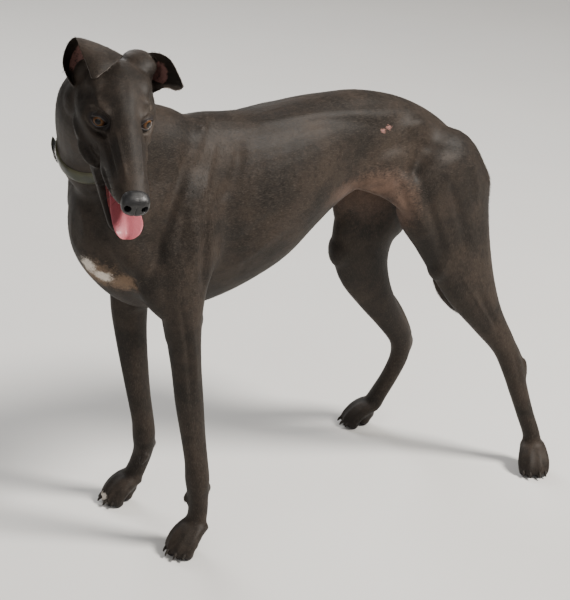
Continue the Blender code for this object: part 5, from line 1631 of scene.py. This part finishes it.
def strap(rows, mat):
    """The leather strap: a rounded band that lies on the neck."""
    rings = []
    for line in rows:
        outer = [p + d * (2 * STRAP_GAP + STRAP_LIFT[j]) for j, (p, d) in enumerate(line)]
        inner = [p + d * STRAP_GAP for p, d in line]
        rings.append(outer + inner[::-1])
    n = len(rings[0])
    verts = [tuple(p) for ring in rings for p in ring]
    faces = []
    for k in range(len(rings)):
        for i in range(n):
            a, b = k * n, (k + 1) % len(rings) * n
            faces.append((a + i, b + i, b + (i + 1) % n, a + (i + 1) % n))
    mesh = faced_out("collar_band", verts, faces)
    keep_marks(mesh, {"edge": np.tile(STRAP_WORN + (0,) * COLLAR_ROWS, len(rings))})
    ob = link("collar_band", mesh)
    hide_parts("collar_strap")
    return dressed(moved(ob), mat)


SHIFT = sum(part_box("eye_left"), Vector()) / 2 - HEAD_M @ EYE_AT[1]
DRAWS = np.random.default_rng(7)

# the skin: body and head, cut from each other under the collar
body = body_skin()
head = head_skin()
skin = link("skin", joined([body.data, head.data]))
drop(body, head)
co = places(skin.data)
edges = edges_of(skin.data)
nor = normals(skin.data)
co = pressed(co, nor, surface_of(skin.data))
put(skin.data, co)
nor = normals(skin.data)
way, share = lie_field(co, nor, edges)
marks = markings(co, nor, share)
co = co - nor * COAT_DEPTH
co[:, 2] = np.maximum(co[:, 2], 0.0)
put(skin.data, co)
keep_marks(skin.data, marks)

region = share.argmax(axis=1)
layout = Layout(*charts(co, nor, region))

# the coat: short hair everywhere but on bare skin, longer along the edges
tri = triangles_of(skin.data)
dense = np.where(share[:, REGIONS.index("head")] > 0.4, 1.5, 1.0)
dense = dense * ramp(co[:, 2], 0.004, 0.02) * (1 - marks["bare"]) * (1 - marks["gums"])
dense = dense * (1 - 0.7 * marks["thin"]) * (1 + 1.5 * marks["pink"])
pick, weight = sown(tri, co, dense, DRAWS, HAIRS)
p = at(co, tri, pick, weight)
n_p = at(nor, tri, pick, weight)
n_p /= np.linalg.norm(n_p, axis=1, keepdims=True)
w_p = at(way, tri, pick, weight)
m_p = {k: at(v, tri, pick, weight) for k, v in marks.items()}
r_p = region[tri[pick, 0]]
long, stand = hair_sizes(p, n_p, m_p, r_p)
uv = layout.place(*charts(p, n_p, r_p))
COAT = coat_material("coat_hair", True)
for k, part in enumerate(np.array_split(np.arange(len(p)), HAIR_PIECES)):
    ob = tufts("coat_%d" % k, p[part], n_p[part], w_p[part], long[part], stand[part],
               {m: v[part] for m, v in m_p.items()}, uv[part], DRAWS)
    dressed(moved(ob), COAT)

field = surface_of(skin.data)
moved(skin)
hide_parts("torso", "neck", "tail", "head", "jaw", "leg_front_left",
            "leg_front_right", "leg_hind_left", "leg_hind_right", "ear_left", "ear_right")
dressed(skin, coat_material("coat_skin", False))

EYE = eye_material()
LID = skin_material("lid_skin", (0.010, 0.008, 0.008), (0.030, 0.022, 0.020), 0.35, 500, 0.2)
for s, side in ((-1, "right"), (1, "left")):
    ball = eye(s, "eyeball_" + side, EYE)
    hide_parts("eye_" + side)
    dressed(lid_rims(s, "lids_" + side), LID)
nose_pad(nose_material())
tongue(skin_material("tongue_skin", (0.31, 0.068, 0.088), (0.43, 0.125, 0.145), 0.50, 1500,
                     0.35, coat=0.10, Specular_IOR_Level=0.3, Subsurface_Weight=0.10,
                     Subsurface_Scale=0.004, Subsurface_Radius=(1.0, 0.3, 0.2)))
TOOTH = skin_material("tooth", (0.62, 0.56, 0.42), (0.78, 0.73, 0.60), 0.25, 200, 0.1, coat=0.3)
for name, jaw in TEETH.items():
    dressed(moved(link(name, teeth(*jaw))), TOOTH)
CLAW = skin_material("claw_horn", (0.010, 0.008, 0.007), (0.032, 0.026, 0.021), 0.60, 300, 0.15,
                     Specular_IOR_Level=0.2)
for paw in PAWS:
    dressed(moved(link("claws_" + paw, joined(claw_meshes(paw)))), CLAW)

dressed(moved(link("whiskers", whiskers(field))), CLAW)

band = strap_grid(field)
strap(band, strap_material())
THREAD = skin_material("thread", (0.050, 0.048, 0.026), (0.090, 0.085, 0.050), 0.7, 900, 0.3)
dressed(moved(link("strap_stitches", stitches(band))), THREAD)
METAL = metal_material()
for name in ("collar_buckle", "collar_ring"):
    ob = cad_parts[name]
    ob.data.materials.clear()
    ob.data.materials.append(METAL)

# a plain pale floor, soft studio light and the photograph's view
bpy.ops.mesh.primitive_plane_add(size=40.0)
ground = bpy.context.object
ground.name = "floor"
ground.data.materials.append(floor_material())


LAMPS_AIM = Vector((0, 0, 0.45))


def lamp(name, place, size, power, colour=(1, 1, 1)):
    data = bpy.data.lights.new(name, "AREA")
    data.shape = "DISK"
    data.size = size
    data.energy = power
    data.color = colour
    ob = bpy.data.objects.new(name, data)
    bpy.context.scene.collection.objects.link(ob)
    ob.location = place
    ob.rotation_euler = (LAMPS_AIM - Vector(place)).to_track_quat("-Z", "Y").to_euler()


lamp("key", (1.7, -2.1, 3.4), 1.1, 360, colour=(1.0, 0.96, 0.90))
lamp("fill", (-3.2, -1.6, 1.8), 2.6, 26)
lamp("rim", (0.4, 3.0, 2.6), 2.0, 80)
# the studio's light on the dog, and how bright its walls are seen
WALLS_LIGHT = 0.32
WALLS_SEEN = 0.85
world = bpy.data.worlds.new("studio")
world.use_nodes = True
walls = world.node_tree.nodes["Background"]
walls.inputs[0].default_value = (1.0, 0.97, 0.94, 1)
seen = node(world.node_tree, "LightPath").outputs["Is Camera Ray"]
glow = node(world.node_tree, "MapRange", {"Value": seen, "To Min": WALLS_LIGHT,
                                          "To Max": WALLS_SEEN})
world.node_tree.links.new(glow.outputs[0], walls.inputs[1])
bpy.context.scene.world = world

CAM_TURN = math.radians(-36.3)
CAM_RISE = math.radians(22.5)
CAM_ROLL = math.radians(3.15)
CAM_AT = Vector((-1.6735, -2.5282, 1.6601))
LENS = 121.3
SENSOR = 36.0


def camera():
    back = Vector((math.sin(CAM_TURN) * math.cos(CAM_RISE),
                   -math.cos(CAM_TURN) * math.cos(CAM_RISE), math.sin(CAM_RISE)))
    right = Vector((math.cos(CAM_TURN), math.sin(CAM_TURN), 0))
    up = back.cross(right)
    r = right * math.cos(CAM_ROLL) + up * math.sin(CAM_ROLL)
    u = up * math.cos(CAM_ROLL) - right * math.sin(CAM_ROLL)
    data = bpy.data.cameras.new("camera")
    data.lens = LENS
    data.sensor_width = SENSOR
    data.sensor_fit = "AUTO"
    ob = bpy.data.objects.new("camera", data)
    bpy.context.scene.collection.objects.link(ob)
    m = Matrix((r, u, back)).transposed().to_4x4()
    ob.matrix_world = Matrix.Translation(CAM_AT + SHIFT) @ m
    bpy.context.scene.camera = ob


camera()
